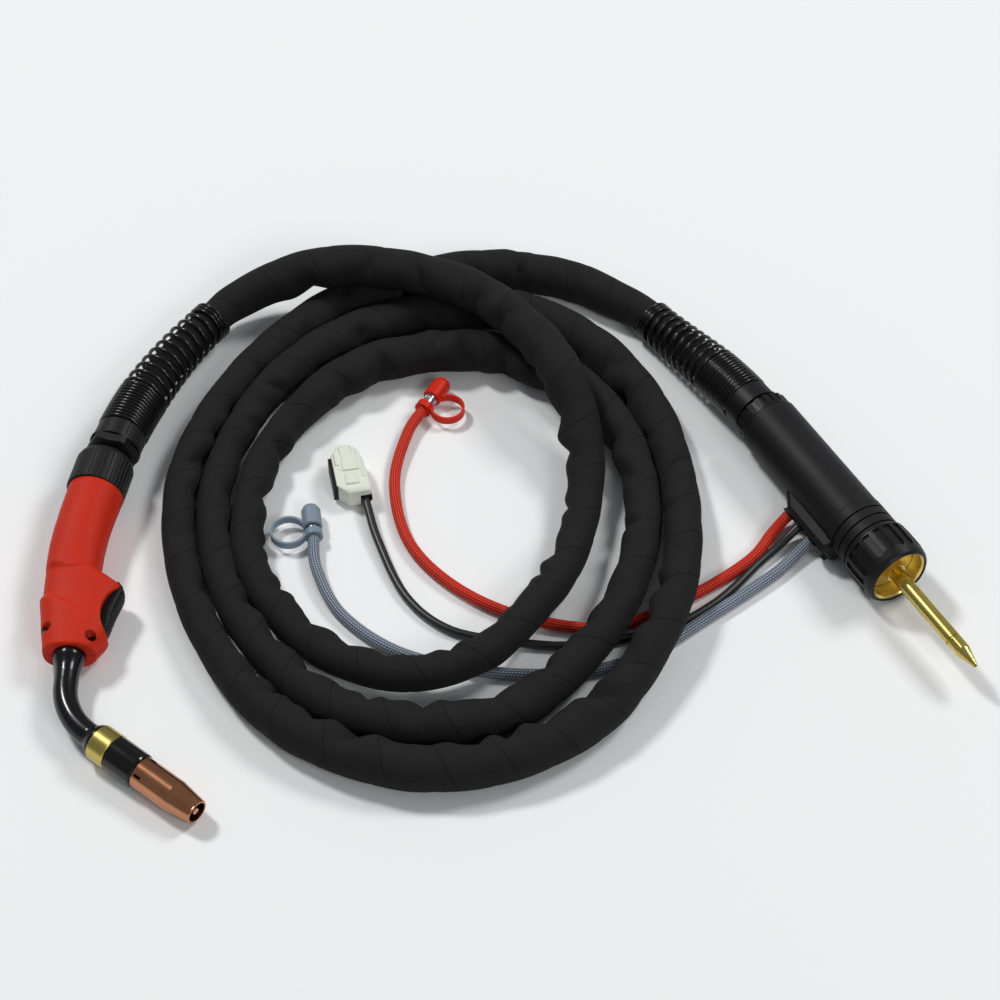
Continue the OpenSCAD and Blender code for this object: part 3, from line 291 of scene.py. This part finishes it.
def sleeve_radius(p, s, sides):
    """Radius of the cloth sleeve: pinched along a spiral wrap seam and swollen
    between. Each crease is a sharp dent, exp(-|x|/w) of the length, with a swelling
    on both sides, mostly on the inside of the bend and slanted."""
    rng = np.random.default_rng(4)
    d, side, _ = rings(p)
    bend = np.einsum("ij,ij->i", np.gradient(d, axis=0), side) / (s[1] - s[0])
    bend = np.convolve(bend, np.ones(25) / 25, "same")
    a = np.linspace(0, 2 * math.pi, sides, endpoint=False)[None, :]
    wrap = s[:, None] / WRAP_PITCH + a / (2 * math.pi) + 0.12 * np.sin(s[:, None] * 9)
    seam = np.abs((wrap % 1) - 0.5)
    r = p[:, 3, None] * (1 + 0 * a)
    r = r * (1 - 0.022 * np.exp(-(seam / 0.05) ** 2) + 0.014 * np.cos(2 * math.pi * wrap))
    mild = np.clip(np.abs(bend) / 5, 0.35, 1)
    turn = np.where(bend > 0, 0.0, math.pi)
    at = 0.17
    while at < s[-1] - 0.17:
        i = int(at / (s[1] - s[0]))
        centre = turn[i] + rng.uniform(-0.7, 0.7) + (0.9 if rng.uniform() < 0.25 else 0)
        across = (a - centre + math.pi) % (2 * math.pi) - math.pi
        away = s[:, None] - at - rng.uniform(-0.008, 0.008) * across
        wide, deep = rng.uniform(0.0035, 0.0085), rng.uniform(0.20, 0.42) * mild[i]
        window = np.exp(-(across / rng.uniform(0.6, 1.1)) ** 2)
        swelling = 0.45 * np.exp(-((np.abs(away) - 2.3 * wide) / (1.3 * wide)) ** 2)
        dent = np.exp(-np.abs(away) / (0.8 * wide)) - swelling
        near = np.abs(s - at) < 0.05
        r[near] = (r * (1 - deep * window * dent))[near]
        at += rng.uniform(0.022, 0.052)
    r = r * (1 + 0.010 * np.sin(s[:, None] * 57 + a) + 0.008 * np.sin(s[:, None] * 93 - 2 * a))
    r = r * (1 + 0.008 * mild[:, None] * np.sin(s[:, None] * 210 + 2.2 * a + 3 * np.sin(s[:, None] * 19)))
    ends = np.minimum(s, s[-1] - s)[:, None]
    calm = np.clip((ends - 0.16) / 0.05, 0, 1)
    return calm * r + (1 - calm) * p[:, 3, None]


def laid(route, step):
    p, s = spline(np.array(route) * MM, step)
    return p, s, float(s[-1])


cloth = Mat("woven_sleeve", Base_Color=(0.010, 0.010, 0.011, 1), Roughness=0.85)
cloth.shader.inputs["Specular IOR Level"].default_value = 0.2
cu, cv = cloth.uv()
wrap = cu / WRAP_PITCH + cv
line = abs((wrap + 0.5).frac() - 0.5)
stitch = 1 - line.smooth(0.008, 0.028)
weave = ((cu * 5200).sin() * (cv * 560).sin()) * 0.5 + 0.5
fluff = cloth.noise(900, 3)
thread_tone = cloth.tint(fluff * 0.6 + weave * 0.3, (0.006, 0.006, 0.0065), (0.019, 0.019, 0.020))
cloth.feed("Base Color", cloth.blend(stitch * 0.5, thread_tone, (0.003, 0.003, 0.003)))
cloth.bump(weave * 0.25 + fluff * 0.35 - stitch * 0.9, 0.0007, 0.55)


def braid(name, low, high, stitch_highlight):
    """Braided hose: ribs along its length, each a row of short stitches painted bright
    (painted highlight), and every other row half a stitch on; the grooves between the
    ribs are painted darker (painted shade)."""
    m = Mat(name, Base_Color=(*high, 1), Roughness=0.5)
    m.shader.inputs["Specular IOR Level"].default_value = 0.2
    u, v = m.uv()
    rib = 1 - abs((v * 14).frac() - 0.5).smooth(0.14, 0.42)
    stitch = 1 - abs((u * 460 + ((v * 7).frac() > 0.5) * 0.5 + v * 3).frac() - 0.5).smooth(0.14, 0.42)
    # painted shade: the colour goes from the low colour in the grooves between ribs to the high colour on the rib
    # crests
    base = m.tint(rib * 0.75 + m.noise(60, 3) * 0.25, low, high)
    # painted highlight: the stitches on the rib crests get the brighter third colour
    m.feed("Base Color", m.blend(rib * stitch * 0.6, base, stitch_highlight))
    m.bump(rib * 0.6 + rib * stitch * 0.5, 0.00035, 0.7)
    return m


# each braid: low colour is painted shade in the grooves, third colour is a painted highlight on the stitches
red_braid = braid("red_braid", (0.20, 0.003, 0.001), (0.66, 0.016, 0.005), (0.94, 0.11, 0.05))
grey_braid = braid("grey_braid", (0.035, 0.048, 0.07), (0.16, 0.20, 0.27), (0.58, 0.64, 0.70))
jacket = Mat("cable_jacket", Base_Color=(0.014, 0.014, 0.015, 1), Roughness=0.38)
jacket.bump(jacket.noise(300, 2), 0.0002, 0.3)

pack_p, pack_s, pack_len = laid(PACK, 0.0022)
hose_pack = tube("sleeved_hose", pack_p, pack_s, 56, sleeve_radius(pack_p, pack_s, 56))
finish_piece(hose_pack, cloth, "base", "hose_pack", slot="sleeve")
[tuple(q) for q in pack_p[::4, :3]] + [tuple(pack_p[-1, :3])]


def small_cord(name, route, mat, node, slot, others):
    p, s, length = laid(route, 0.0015)
    obj = tube(name, p, s, 24)
    finish_piece(obj, mat, "base", node, slot=slot)
    2 * p[0, 3]
    [tuple(q) for q in p[::3, :3]] + [tuple(p[-1, :3])]
    return obj


def node_of(name):
    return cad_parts[name]


for colour, route, mat in (("red", RED, red_braid), ("grey", GREY, grey_braid)):
    small_cord(colour + "_gas_hose", route, mat, colour + "_hose", colour + "_hose",
               [node_of(colour + "_fitting"), node_of(colour + "_cap")])


# ---- finishes of the solid pieces ------------------------------------------------
def moulded(name, low, high, rough, grain=0.0, grain_scale=900, coat=0.0):
    """Moulded plastic or rubber: slight cloud in the colour, fine grain, and
    a roughness that wanders where hands have rubbed it."""
    m = Mat(name, Base_Color=(*high, 1), Roughness=rough)
    m.shader.inputs["Coat Weight"].default_value = coat
    m.shader.inputs["Specular IOR Level"].default_value = 0.22
    cloud = m.noise(14, 3)
    m.feed("Base Color", m.tint(cloud, low, high))
    m.feed("Roughness", m.noise(35, 4) * 0.12 + (rough - 0.06))
    if grain:
        m.bump(m.noise(grain_scale, 2), grain, 0.5)
    return m


def metal(name, low, high, rough, streak, scale=260):
    """Bare metal: fine turning streaks and a little tarnish."""
    m = Mat(name, Base_Color=(*high, 1), Metallic=1.0, Roughness=rough)
    tarnish = m.noise(45, 5, 0.6)
    m.feed("Base Color", m.tint(tarnish, low, high))
    m.feed("Roughness", m.noise(scale, 3, 0.6) * 0.05 + (rough - 0.025))
    m.bump(m.noise(scale * 12, 2), streak, 0.03)
    return m


shell_red = moulded("shell_red", (0.48, 0.014, 0.002), (0.58, 0.023, 0.003), 0.6, 0.00010, 1400)
matt_black = moulded("matt_black", (0.005, 0.005, 0.006), (0.009, 0.009, 0.010), 0.45, 0.00010, 1200)
rubber_black = moulded("rubber_black", (0.005, 0.005, 0.005), (0.008, 0.008, 0.009), 0.55, 0.00006, 800)
gloss_black = moulded("gloss_black", (0.003, 0.003, 0.004), (0.006, 0.006, 0.006), 0.16, 0.00002, 300, 0.35)
body_black = moulded("body_black", (0.005, 0.005, 0.006), (0.009, 0.009, 0.010), 0.52, 0.00006, 900)
neck_black = moulded("neck_black", (0.004, 0.004, 0.005), (0.007, 0.007, 0.008), 0.24, 0.00003, 500, 0.2)
nut_black = moulded("nut_black", (0.006, 0.006, 0.006), (0.010, 0.010, 0.010), 0.42, 0.00005, 900)
wire_black = moulded("wire_black", (0.004, 0.004, 0.004), (0.008, 0.008, 0.008), 0.25, 0.00005, 500, 0.25)
brass = metal("brass", (0.52, 0.41, 0.10), (0.72, 0.58, 0.18), 0.27, 0.00002)
gold_brass = metal("gold_brass", (0.86, 0.66, 0.20), (0.98, 0.80, 0.34), 0.30, 0.00002)
copper = metal("copper", (0.44, 0.18, 0.085), (0.66, 0.31, 0.17), 0.19, 0.00002)
tip_copper = metal("tip_copper", (0.80, 0.46, 0.32), (0.92, 0.60, 0.45), 0.3, 0.00002)
steel = metal("steel", (0.50, 0.50, 0.51), (0.66, 0.66, 0.67), 0.26, 0.00002)
dark_steel = metal("dark_steel", (0.10, 0.10, 0.10), (0.16, 0.16, 0.16), 0.35, 0.00002)
ivory = moulded("ivory_plastic", (0.68, 0.72, 0.61), (0.78, 0.81, 0.71), 0.42, 0.00004, 500, 0.05)
cap_red = moulded("cap_red", (0.54, 0.014, 0.003), (0.64, 0.022, 0.005), 0.45, 0.00005, 500)
cap_grey = moulded("cap_grey", (0.17, 0.22, 0.28), (0.23, 0.29, 0.36), 0.42, 0.00005, 500, 0.05)

FINISH = {
    "handle_upper": shell_red, "handle_lower": shell_red, "handle_screws": dark_steel, "trigger": matt_black,
    "trigger_pin": steel, "switch_body": matt_black, "switch_button": shell_red, "rear_nut": matt_black,
    "swivel_ball": body_black, "torch_collar": matt_black, "torch_spring": wire_black, "neck_boot": rubber_black,
    "neck_tube": rubber_black, "neck_core": brass, "neck_collar": rubber_black, "brass_ring": brass,
    "insulator_sleeve": gloss_black, "gas_diffuser": brass, "contact_tip": tip_copper, "gas_nozzle": copper,
    "connector_spring": wire_black, "connector_collar": matt_black, "connector_ball": body_black,
    "lock_nut": nut_black, "connector_body": body_black, "outlet_grommets": rubber_black,
    "blank_plug": rubber_black, "body_screw": steel, "hand_nut": nut_black, "nut_insert": gold_brass,
    "face_plate": gold_brass, "inlet_pipe": brass, "pipe_tip": brass, "red_fitting": steel, "red_cap": cap_red,
    "grey_fitting": steel, "grey_cap": cap_grey, "plug_housing": ivory, "plug_face": matt_black,
    "plug_gland": rubber_black, "plug_latch": ivory, "hose_pack": cloth, "red_hose": red_braid,
    "grey_hose": grey_braid, "control_cable": jacket}
for name, mat in FINISH.items():
    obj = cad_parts[name]
    for held in obj.material_slots:
        held.material = mat.data

# ---- where the torch and the connector lie: the same numbers as the source --------
PITCH = math.radians(2)
TORCH = np.array([-286, -98, 20.5 * math.cos(PITCH) - 140 * math.sin(PITCH)])
REAR = np.array([3.9, 139.0, 0])
BEND = math.radians(51)
CONN = np.array([181.9, 114.2, 24.5])
TURN = math.radians(-60.9)
U = np.array([math.cos(TURN), math.sin(TURN), 0])


def torch_place(p):
    """From the torch's own millimetres to the frame's metres: a turn about X, then the shift."""
    c, s = math.cos(PITCH), math.sin(PITCH)
    x, y, z = p[..., 0], p[..., 1], p[..., 2]
    return (np.stack([x, y * c - z * s, y * s + z * c], -1) + TORCH) * MM


# ---- protection springs ------------------------------------------------------------
TIGHT_TURNS, END_TURNS = 12, 3
WIDE_COIL, NARROW_COIL = 37.2, 31
COLLAR_LENGTH, HALF_WIRE, AIR = 14, 1.4, 0.1


def coil(name, start, z1, a0, a1, open_turns, pitch, side):
    """Wire wound round a level arc. Turn t lies at length s(t): tight, open, then
    tight turns. The centre follows the arc, the coil's radius shrinks to the free
    end, and the wire's own circle is swept along it."""
    wire, tight = 2.8, 2.95
    turns = TIGHT_TURNS + open_turns + END_TURNS
    opened = TIGHT_TURNS + open_turns
    t = np.linspace(0, turns, int(turns * 44) + 1)
    s = np.where(t < TIGHT_TURNS, t * tight, np.where(
        t < opened, TIGHT_TURNS * tight + (t - TIGHT_TURNS) * pitch,
        TIGHT_TURNS * tight + open_turns * pitch + (t - TIGHT_TURNS - open_turns) * tight))
    total, f = s[-1], s / s[-1]
    r = total / (a1 - a0)
    a = a0 + (a1 - a0) * f
    centre = np.stack([start[0] + r * (math.cos(a0) - np.cos(a)), start[1] + r * (np.sin(a) - math.sin(a0)),
                       start[2] + (z1 - start[2]) * f * f * (3 - 2 * f)], -1)
    n = np.stack([np.cos(a), -np.sin(a), 0 * a], -1)
    q = np.clip((s - TIGHT_TURNS * tight) / (total - TIGHT_TURNS * tight), 0, None)
    wide, narrow = (WIDE_COIL - wire) / 2, (NARROW_COIL - wire) / 2
    rc = (wide + (narrow - wide) * np.minimum(1, q * 1.1))[:, None]
    th = 2 * math.pi * t[:, None]
    e = np.cos(th) * n + np.sin(th) * [0, 0, 1.0]
    line = centre + rc * e
    line[:, 0] *= side
    e[:, 0] *= side
    d = np.gradient(line, axis=0)
    d /= np.linalg.norm(d, axis=1)[:, None]
    w = np.cross(d, e)
    b = np.linspace(0, 2 * math.pi, 10, endpoint=False)[None, :, None]
    wrapped = line[:, None] + wire / 2 * (np.cos(b) * e[:, None] + np.sin(b) * w[:, None])
    return grid_mesh(name, wrapped[:, ::-1] * MM, wrap_v=True, caps=True)


tilt = math.radians(16)
ball = REAR + 21 * np.array([math.sin(math.radians(11)), math.cos(math.radians(11)), 0])
reach = 22 + COLLAR_LENGTH + HALF_WIRE + AIR
sx, sy = ball[0] + reach * math.sin(tilt), ball[1] + reach * math.cos(tilt)
start = (TORCH[0] + sx, TORCH[1] + sy * math.cos(PITCH), TORCH[2] + sy * math.sin(PITCH))
finish_piece(coil("torch_coil", start, 22, tilt, math.radians(36), 10, 8.4, 1),
             wire_black, "base", "torch_spring", slot="spring_black")
back = math.radians(-32.5)
reach = 13.5 + COLLAR_LENGTH + HALF_WIRE + AIR
start = (-(CONN[0] + 12 * U[0] + reach * math.sin(back)), CONN[1] + 12 * U[1] + reach * math.cos(back), CONN[2])
finish_piece(coil("connector_coil", start, 15.7, -back, math.radians(37.5), 9, 7.4, -1),
             wire_black, "base", "connector_spring", slot="spring_black")

# ---- handle: the two shells' outside ---------------------------------------------------
def step(x, low, high):
    """0 below low, 1 above high, smooth between."""
    t = np.clip((x - low) / (high - low), 0, 1)
    return t * t * (3 - 2 * t)


# each station: y, skew, left edge, right edge, half height, in the torch's millimetres
STATIONS = np.array([
    [0, 0, -17.2, 17.2, 13.4], [1, 0, -18, 18, 14.3], [8.5, 0.25, -19.1, 20.6, 15.3],
    [15.2, 0.4, -19.9, 23.4, 15.8], [22.6, 0.48, -20.6, 25.4, 16.2], [31.3, 0.5, -21.6, 26, 16.4],
    [43.6, 0.44, -22, 28, 16.5], [54, 0.38, -22.1, 30.2, 16.8], [59.6, 0.35, -22.2, 32.0, 16.2],
    [60.4, 0.34, -22.2, 31.4, 16.2], [65.4, 0.17, -22.3, 16.2, 17.0], [66.8, 0.14, -22.4, 14.4, 17.0],
    [76, 0, -22.5, 14.7, 17], [90, 0, -22.2, 15.5, 17.5], [105, 0.04, -20.7, 17.4, 18.3],
    [120, 0.13, -18.4, 20, 19], [139.7, 0.27, -14.6, 23.9, 19.2]])


def handle_skin():
    """Rings of a squircle, x = c + a |cos|^(2/e), z = b |sin|^(2/e), slanted by the
    station's skew and joined along the grip. The front flare swells to a slanted
    lip, fades to the right, and a low ridge runs back from the trigger's hood."""
    idx = np.linspace(0, len(STATIONS) - 1, 220)
    st = np.stack([np.interp(idx, np.arange(len(STATIONS)), STATIONS[:, k]) for k in range(5)], -1)
    kernel = np.exp(-np.linspace(-2, 2, 11) ** 2)
    kernel /= kernel.sum()
    soft = np.stack([np.convolve(np.pad(st[:, k], 5, "edge"), kernel, "valid") for k in range(5)], -1)
    soft[:6], soft[-6:] = st[:6], st[-6:]
    th = np.linspace(0, 2 * math.pi, 144, endpoint=False)[None, :]
    y, k, left, right, b = (soft[:, i, None] for i in range(5))
    e = np.where(y < 70, 2.5, np.maximum(2, 2.5 - (y - 70) / 80))
    x = (left + right) / 2 + (right - left) / 2 * np.sign(np.cos(th)) * np.abs(np.cos(th)) ** (2 / e)
    z = b * np.sign(np.sin(th)) * np.abs(np.sin(th)) ** (2 / e)
    yy = y - 0.72 * k * x
    lip = 34.5 - 0.62 * (x + 10)
    swell = np.clip((yy - 4) / (lip - 4), 0, 1) * (1 - step(yy, lip, lip + 4.5))
    swell *= 2.0 * (1 - step(x, -14, 14)) * step(z, -12, -5)
    ridge = np.exp(-((yy - 64 - 0.06 * (x + 6)) / 1.0) ** 2) * 0.5 * step(x, -12, 2) * (1 - step(x, 9, 13)) * (z > 0)
    x = x + swell * np.cos(th)
    z = z + swell * np.sin(th) * 0.8 + ridge
    pts = np.stack([x, yy, z], -1)
    return grid_mesh("handle_skin", torch_place(pts)[:, ::-1], wrap_v=True, caps=True)


def cut(obj, cutter):
    """Take the cutter out of the piece and drop the cutter."""
    mod = obj.modifiers.new("cut", "BOOLEAN")
    mod.object, mod.operation, mod.solver = cutter, "DIFFERENCE", "EXACT"
    bpy.context.view_layer.update()
    made = bpy.data.meshes.new_from_object(obj.evaluated_get(bpy.context.evaluated_depsgraph_get()))
    obj.modifiers.clear()
    obj.data = made
    bpy.data.objects.remove(cutter)


def turned(name, profile, sides, place, caps=False):
    """Profile of (radius, height) turned round its own axis, then placed."""
    pr = np.asarray(profile, float)
    th = np.linspace(0, 2 * math.pi, sides, endpoint=False)[None, :]
    pts = np.stack([pr[:, :1] * np.cos(th), pr[:, :1] * np.sin(th), pr[:, 1:] + 0 * th], -1)
    return grid_mesh(name, place(pts), wrap_v=True, caps=caps)


def block(name, low, high):
    """Box from its two corners in the torch's millimetres: six sides of a grid of 2 x 4 corners."""
    (x0, y0, z0), (x1, y1, z1) = low, high
    ring = [(x0, y0), (x1, y0), (x1, y1), (x0, y1)]
    pts = np.array([[(x, y, z) for x, y in ring] for z in (z0, z1)], float)
    return grid_mesh(name, torch_place(pts)[:, ::-1], wrap_v=True, caps=True, smooth=False)


HOLES, HOLE_R = ((-15.8, 15), (14.6, 7.2)), 3.7

handle = handle_skin()
cut(handle, turned("c", [(28, -30), (28, 30)], 128, lambda p: torch_place(p[:, ::-1] + [47, 28, 0]), True))
cut(handle, block("c", (9, 12.6, -6.4), (40, 33, 6.4)))
cut(handle, block("c", (9, 22, -8.4), (40, 58.4, 8.4)))
for x, y in HOLES:
    cut(handle, turned("c", [(HOLE_R, 4), (HOLE_R, 30)], 40, lambda p: torch_place(p[:, ::-1] + [x, y, 0]), True))
cut(handle, turned("c", [(1.6, -3), (1.6, 14.5)], 32, lambda p: torch_place(p[:, ::-1] + [15.4, 64.2, 0]), True))
cut(handle, turned("c", [(11.05, -6), (11.05, 9)], 64,
                   lambda p: torch_place(np.stack([p[..., 0], -p[..., 2], p[..., 1]], -1)[:, ::-1]), True))
parting = along(shell_red, (0, -math.sin(PITCH), math.cos(PITCH)), tuple(TORCH * MM))
seam = 1 - abs(parting).smooth(0.00012, 0.00032)
tone = shell_red.blend(seam, shell_red.shader.inputs["Base Color"].links[0].from_socket, (0.10, 0.006, 0.003))
local_x = along(shell_red, (1, 0, 0), tuple(TORCH * MM))
local_y = along(shell_red, (0, math.cos(PITCH), math.sin(PITCH)), tuple(TORCH * MM))
# painted shade: the insides of the two screw holes on the upper shell are painted near-black
for x, y in HOLES:
    away = (local_x - x * MM) * (local_x - x * MM) + (local_y - y * MM) * (local_y - y * MM)
    deep = (1 - away.smooth((HOLE_R - 0.15) ** 2 * MM * MM, (HOLE_R + 0.1) ** 2 * MM * MM)) * (parting > 0.006)
    tone = shell_red.blend(deep * 0.88, tone, (0.020, 0.002, 0.001))
shell_red.feed("Base Color", tone)
finish_piece(handle, shell_red, "torch", "handle_upper", "handle_lower", slot="red_shell")


# ---- neck: one rubber skin with its boot and its collar -------------------------------------
def neck_skin():
    """Tube along a straight, an arc of 51 degrees and a straight; its radius flares
    to the boot at the handle and to the collar at the brass ring."""
    run, r = 48.4 - 50 * math.tan(BEND / 2), 50.0
    arc = r * BEND
    total = run + arc + 33 - 50 * math.tan(BEND / 2)
    s = np.linspace(-4.5, total, 230)
    a = np.clip((s - run) / r, 0, BEND)
    past = np.clip(s - run - arc, 0, None)
    x = r * (1 - np.cos(a)) + past * math.sin(BEND)
    y = -np.minimum(s, run) - r * np.sin(a) - past * math.cos(BEND)
    rad = np.interp(s, [-4.5, 3.6, 5.4, 7.5, 11, 16, 22, total - 8, total - 5, total - 3.2,
                        total - 2.9, total - 2.3, total - 2, total],
                    [10.8, 10.8, 10.3, 9.6, 8.8, 8.25, 8.1, 8.1, 8.9, 10.6, 10.9, 10.9, 11.5, 11.5])
    rad = np.convolve(np.pad(rad, 3, "edge"), np.ones(7) / 7, "valid")
    p = np.stack([x, y, 0 * x, rad], -1)
    _, side, up = rings(p)
    th = np.linspace(0, 2 * math.pi, 64, endpoint=False)[None, :, None]
    pts = p[:, None, :3] + p[:, 3, None, None] * (np.cos(th) * side[:, None] + np.sin(th) * up[:, None])
    return grid_mesh("neck_skin", torch_place(pts), wrap_v=True, caps=True)


finish_piece(neck_skin(), neck_black, "torch", "neck_boot", "neck_tube", "neck_collar", slot="black_rubber")

# ---- trigger: blade with a ridged finger face ---------------------------------------------
def curve2(points, n):
    """n points of a smooth plan curve through the given ones."""
    p, _ = spline([(x, y, 0, 0) for x, y in points], 0.05)
    pick = np.linspace(0, len(p) - 1, n)
    return np.stack([np.interp(pick, np.arange(len(p)), p[:, k]) for k in range(2)], -1)


def trigger_skin():
    """Rounded slab: along the finger face each section is a squarish superellipse,
    out = d (1 + |cos|^(2/e)) / 2 and z = h |sin|^(2/e). The face carries cross
    ridges, sin of the length, and two rows of nibs, sin x cos of length and width."""
    edge = curve2([(23.4, 15.6), (24.4, 20), (25.8, 27.4), (28.1, 36.9), (30.6, 44.5), (31.5, 49.1),
                   (30.9, 53), (29, 56.6)], 260)
    d = np.gradient(edge, axis=0)
    length = np.concatenate([[0], np.cumsum(np.linalg.norm(np.diff(edge, axis=0), axis=1))])
    d /= np.linalg.norm(d, axis=1)[:, None]
    out = np.stack([d[:, 1], -d[:, 0]], -1)
    f = length / length[-1]
    half = 5.5 + 2.5 * np.clip(f / 0.5, 0, 1) ** 0.8
    th = np.linspace(0, 2 * math.pi, 120, endpoint=False)[None, :]
    c, sn = np.cos(th), np.sin(th)
    depth = 12.0
    push = depth / 2 * (np.sign(c) * np.abs(c) ** (2 / 5) + 1)
    z = half[:, None] * np.sign(sn) * np.abs(sn) ** (2 / 5)
    w = z / half[:, None]
    face = np.clip((push - depth * 0.86) / (depth * 0.14), 0, 1)
    ends = np.clip(f / 0.06, 0, 1) * np.clip((1 - f) / 0.08, 0, 1)
    ridge = np.clip(np.sin(length * 2 * math.pi / 3.0), 0, 1)[:, None] * (np.abs(w) < 0.5) * 0.75
    nib = np.clip(np.sin(length * 2 * math.pi / 1.9)[:, None] * np.sin(np.abs(w) * 2 * math.pi / 0.42), 0, 1)
    nib = nib * (np.abs(w) >= 0.5) * 0.7
    push = push + face * ends[:, None] * (ridge + nib)
    base = edge - out * depth
    xy = base[:, None] + out[:, None] * push[:, :, None]
    pts = np.concatenate([xy, z[:, :, None]], -1)
    return grid_mesh("trigger_skin", torch_place(pts), wrap_v=True, caps=True)


finish_piece(trigger_skin(), matt_black, "trigger", "trigger", slot="black_plastic")

# ---- plug: cast housing with pads, channels and a cable mouth ---------------------------------
PLUG = np.array([-107, 70.0, 0])
PLUG_TURN = math.radians(11)


def plug_place(p):
    """From the plug's own millimetres to the frame's metres: a turn about Z, then the shift."""
    c, s = math.cos(PLUG_TURN), math.sin(PLUG_TURN)
    return (np.stack([p[..., 0] * c - p[..., 1] * s, p[..., 0] * s + p[..., 1] * c, p[..., 2]], -1) + PLUG) * MM


def pad(x, y, x0, x1, y0, y1, soft=0.35):
    """1 inside a rectangle, 0 outside, with a soft rim."""
    return (step(x, x0 - soft, x0 + soft) * step(-x, -x1 - soft, -x1 + soft)
            * step(y, y0 - soft, y0 + soft) * step(-y, -y1 - soft, -y1 + soft))


def plug_skin():
    """Loft along the plug of squarish superellipses between its left and right
    outlines; the top is then raised and sunk by soft rectangles."""
    y = np.linspace(-23, 23, 230)
    left = np.interp(y, [-23, -15, 14, 23], [-4.5, -11.8, -11.8, -5.5])
    right = np.interp(y, [-23, -22, -12, 8, 16, 23], [10, 11.5, 11.8, 10.5, 8.5, 2.5])
    th = np.linspace(0, 2 * math.pi, 240, endpoint=False)[None, :]
    e = 7
    ends = np.clip(np.minimum(y + 23, 23 - y) / 3, 0, 1) ** 0.5
    cx, hx = ((left + right) / 2)[:, None], ((right - left) / 2)[:, None]
    hz = (6.4 + 2 * ends)[:, None]
    x = cx + hx * np.sign(np.cos(th)) * np.abs(np.cos(th)) ** (2 / e)
    z = 8.8 + hz * np.sign(np.sin(th)) * np.abs(np.sin(th)) ** (2 / e)
    yy = y[:, None] + 0 * th
    top = step(np.sin(th), 0.5, 0.8)
    lift = (pad(x, yy, -5.4, 5.8, -3, 19) * 1.3 - pad(x, yy, -2.9, -1.4, -1, 19.4, 0.25) * 1.2
            - pad(x, yy, 1.4, 2.9, -1, 19.4, 0.25) * 1.2)
    lift += (pad(x, yy, -5, 4.5, -16, -6) * 1.2 - pad(x, yy, -2.4, -1.2, -16.4, -7, 0.25) * 1.1
             - pad(x, yy, 0.8, 2, -16.4, -7, 0.25) * 1.1)
    lift -= np.exp(-((x + 8.2) ** 2 + (yy + 1.5) ** 2) / 1.2) * 1.2
    lift += pad(x, yy, -9.7, -6.7, 3, 15) * 0.9 + pad(x, yy, 7.0, 9.0, -10, 9) * 0.8
    z = z + top * (lift - 0.6)
    pts = np.stack([x, yy, z], -1)
    return grid_mesh("plug_skin", plug_place(pts)[:, ::-1], wrap_v=True, caps=True)


def plug_block(low, high):
    """Box from its two corners in the plug's millimetres: a grid of 2 x 4 corners."""
    (x0, y0, z0), (x1, y1, z1) = low, high
    ring = [(x0, y0), (x1, y0), (x1, y1), (x0, y1)]
    pts = np.array([[(x, y, z) for x, y in ring] for z in (z0, z1)], float)
    return grid_mesh("c", plug_place(pts)[:, ::-1], wrap_v=True, caps=True, smooth=False)


plug = plug_skin()
cut(plug, plug_block((3.8, -26, 2.4), (12.6, -11.5, 11)))
cut(plug, plug_block((-14, -16, 2.2), (-8, 12, 15.1)))
finish_piece(plug, ivory, "base", "plug_housing", "plug_latch", slot="ivory")
small_cord("plug_cable", CABLE, jacket, "control_cable", "black_rubber",
           [plug, node_of("plug_face"), node_of("plug_gland")])
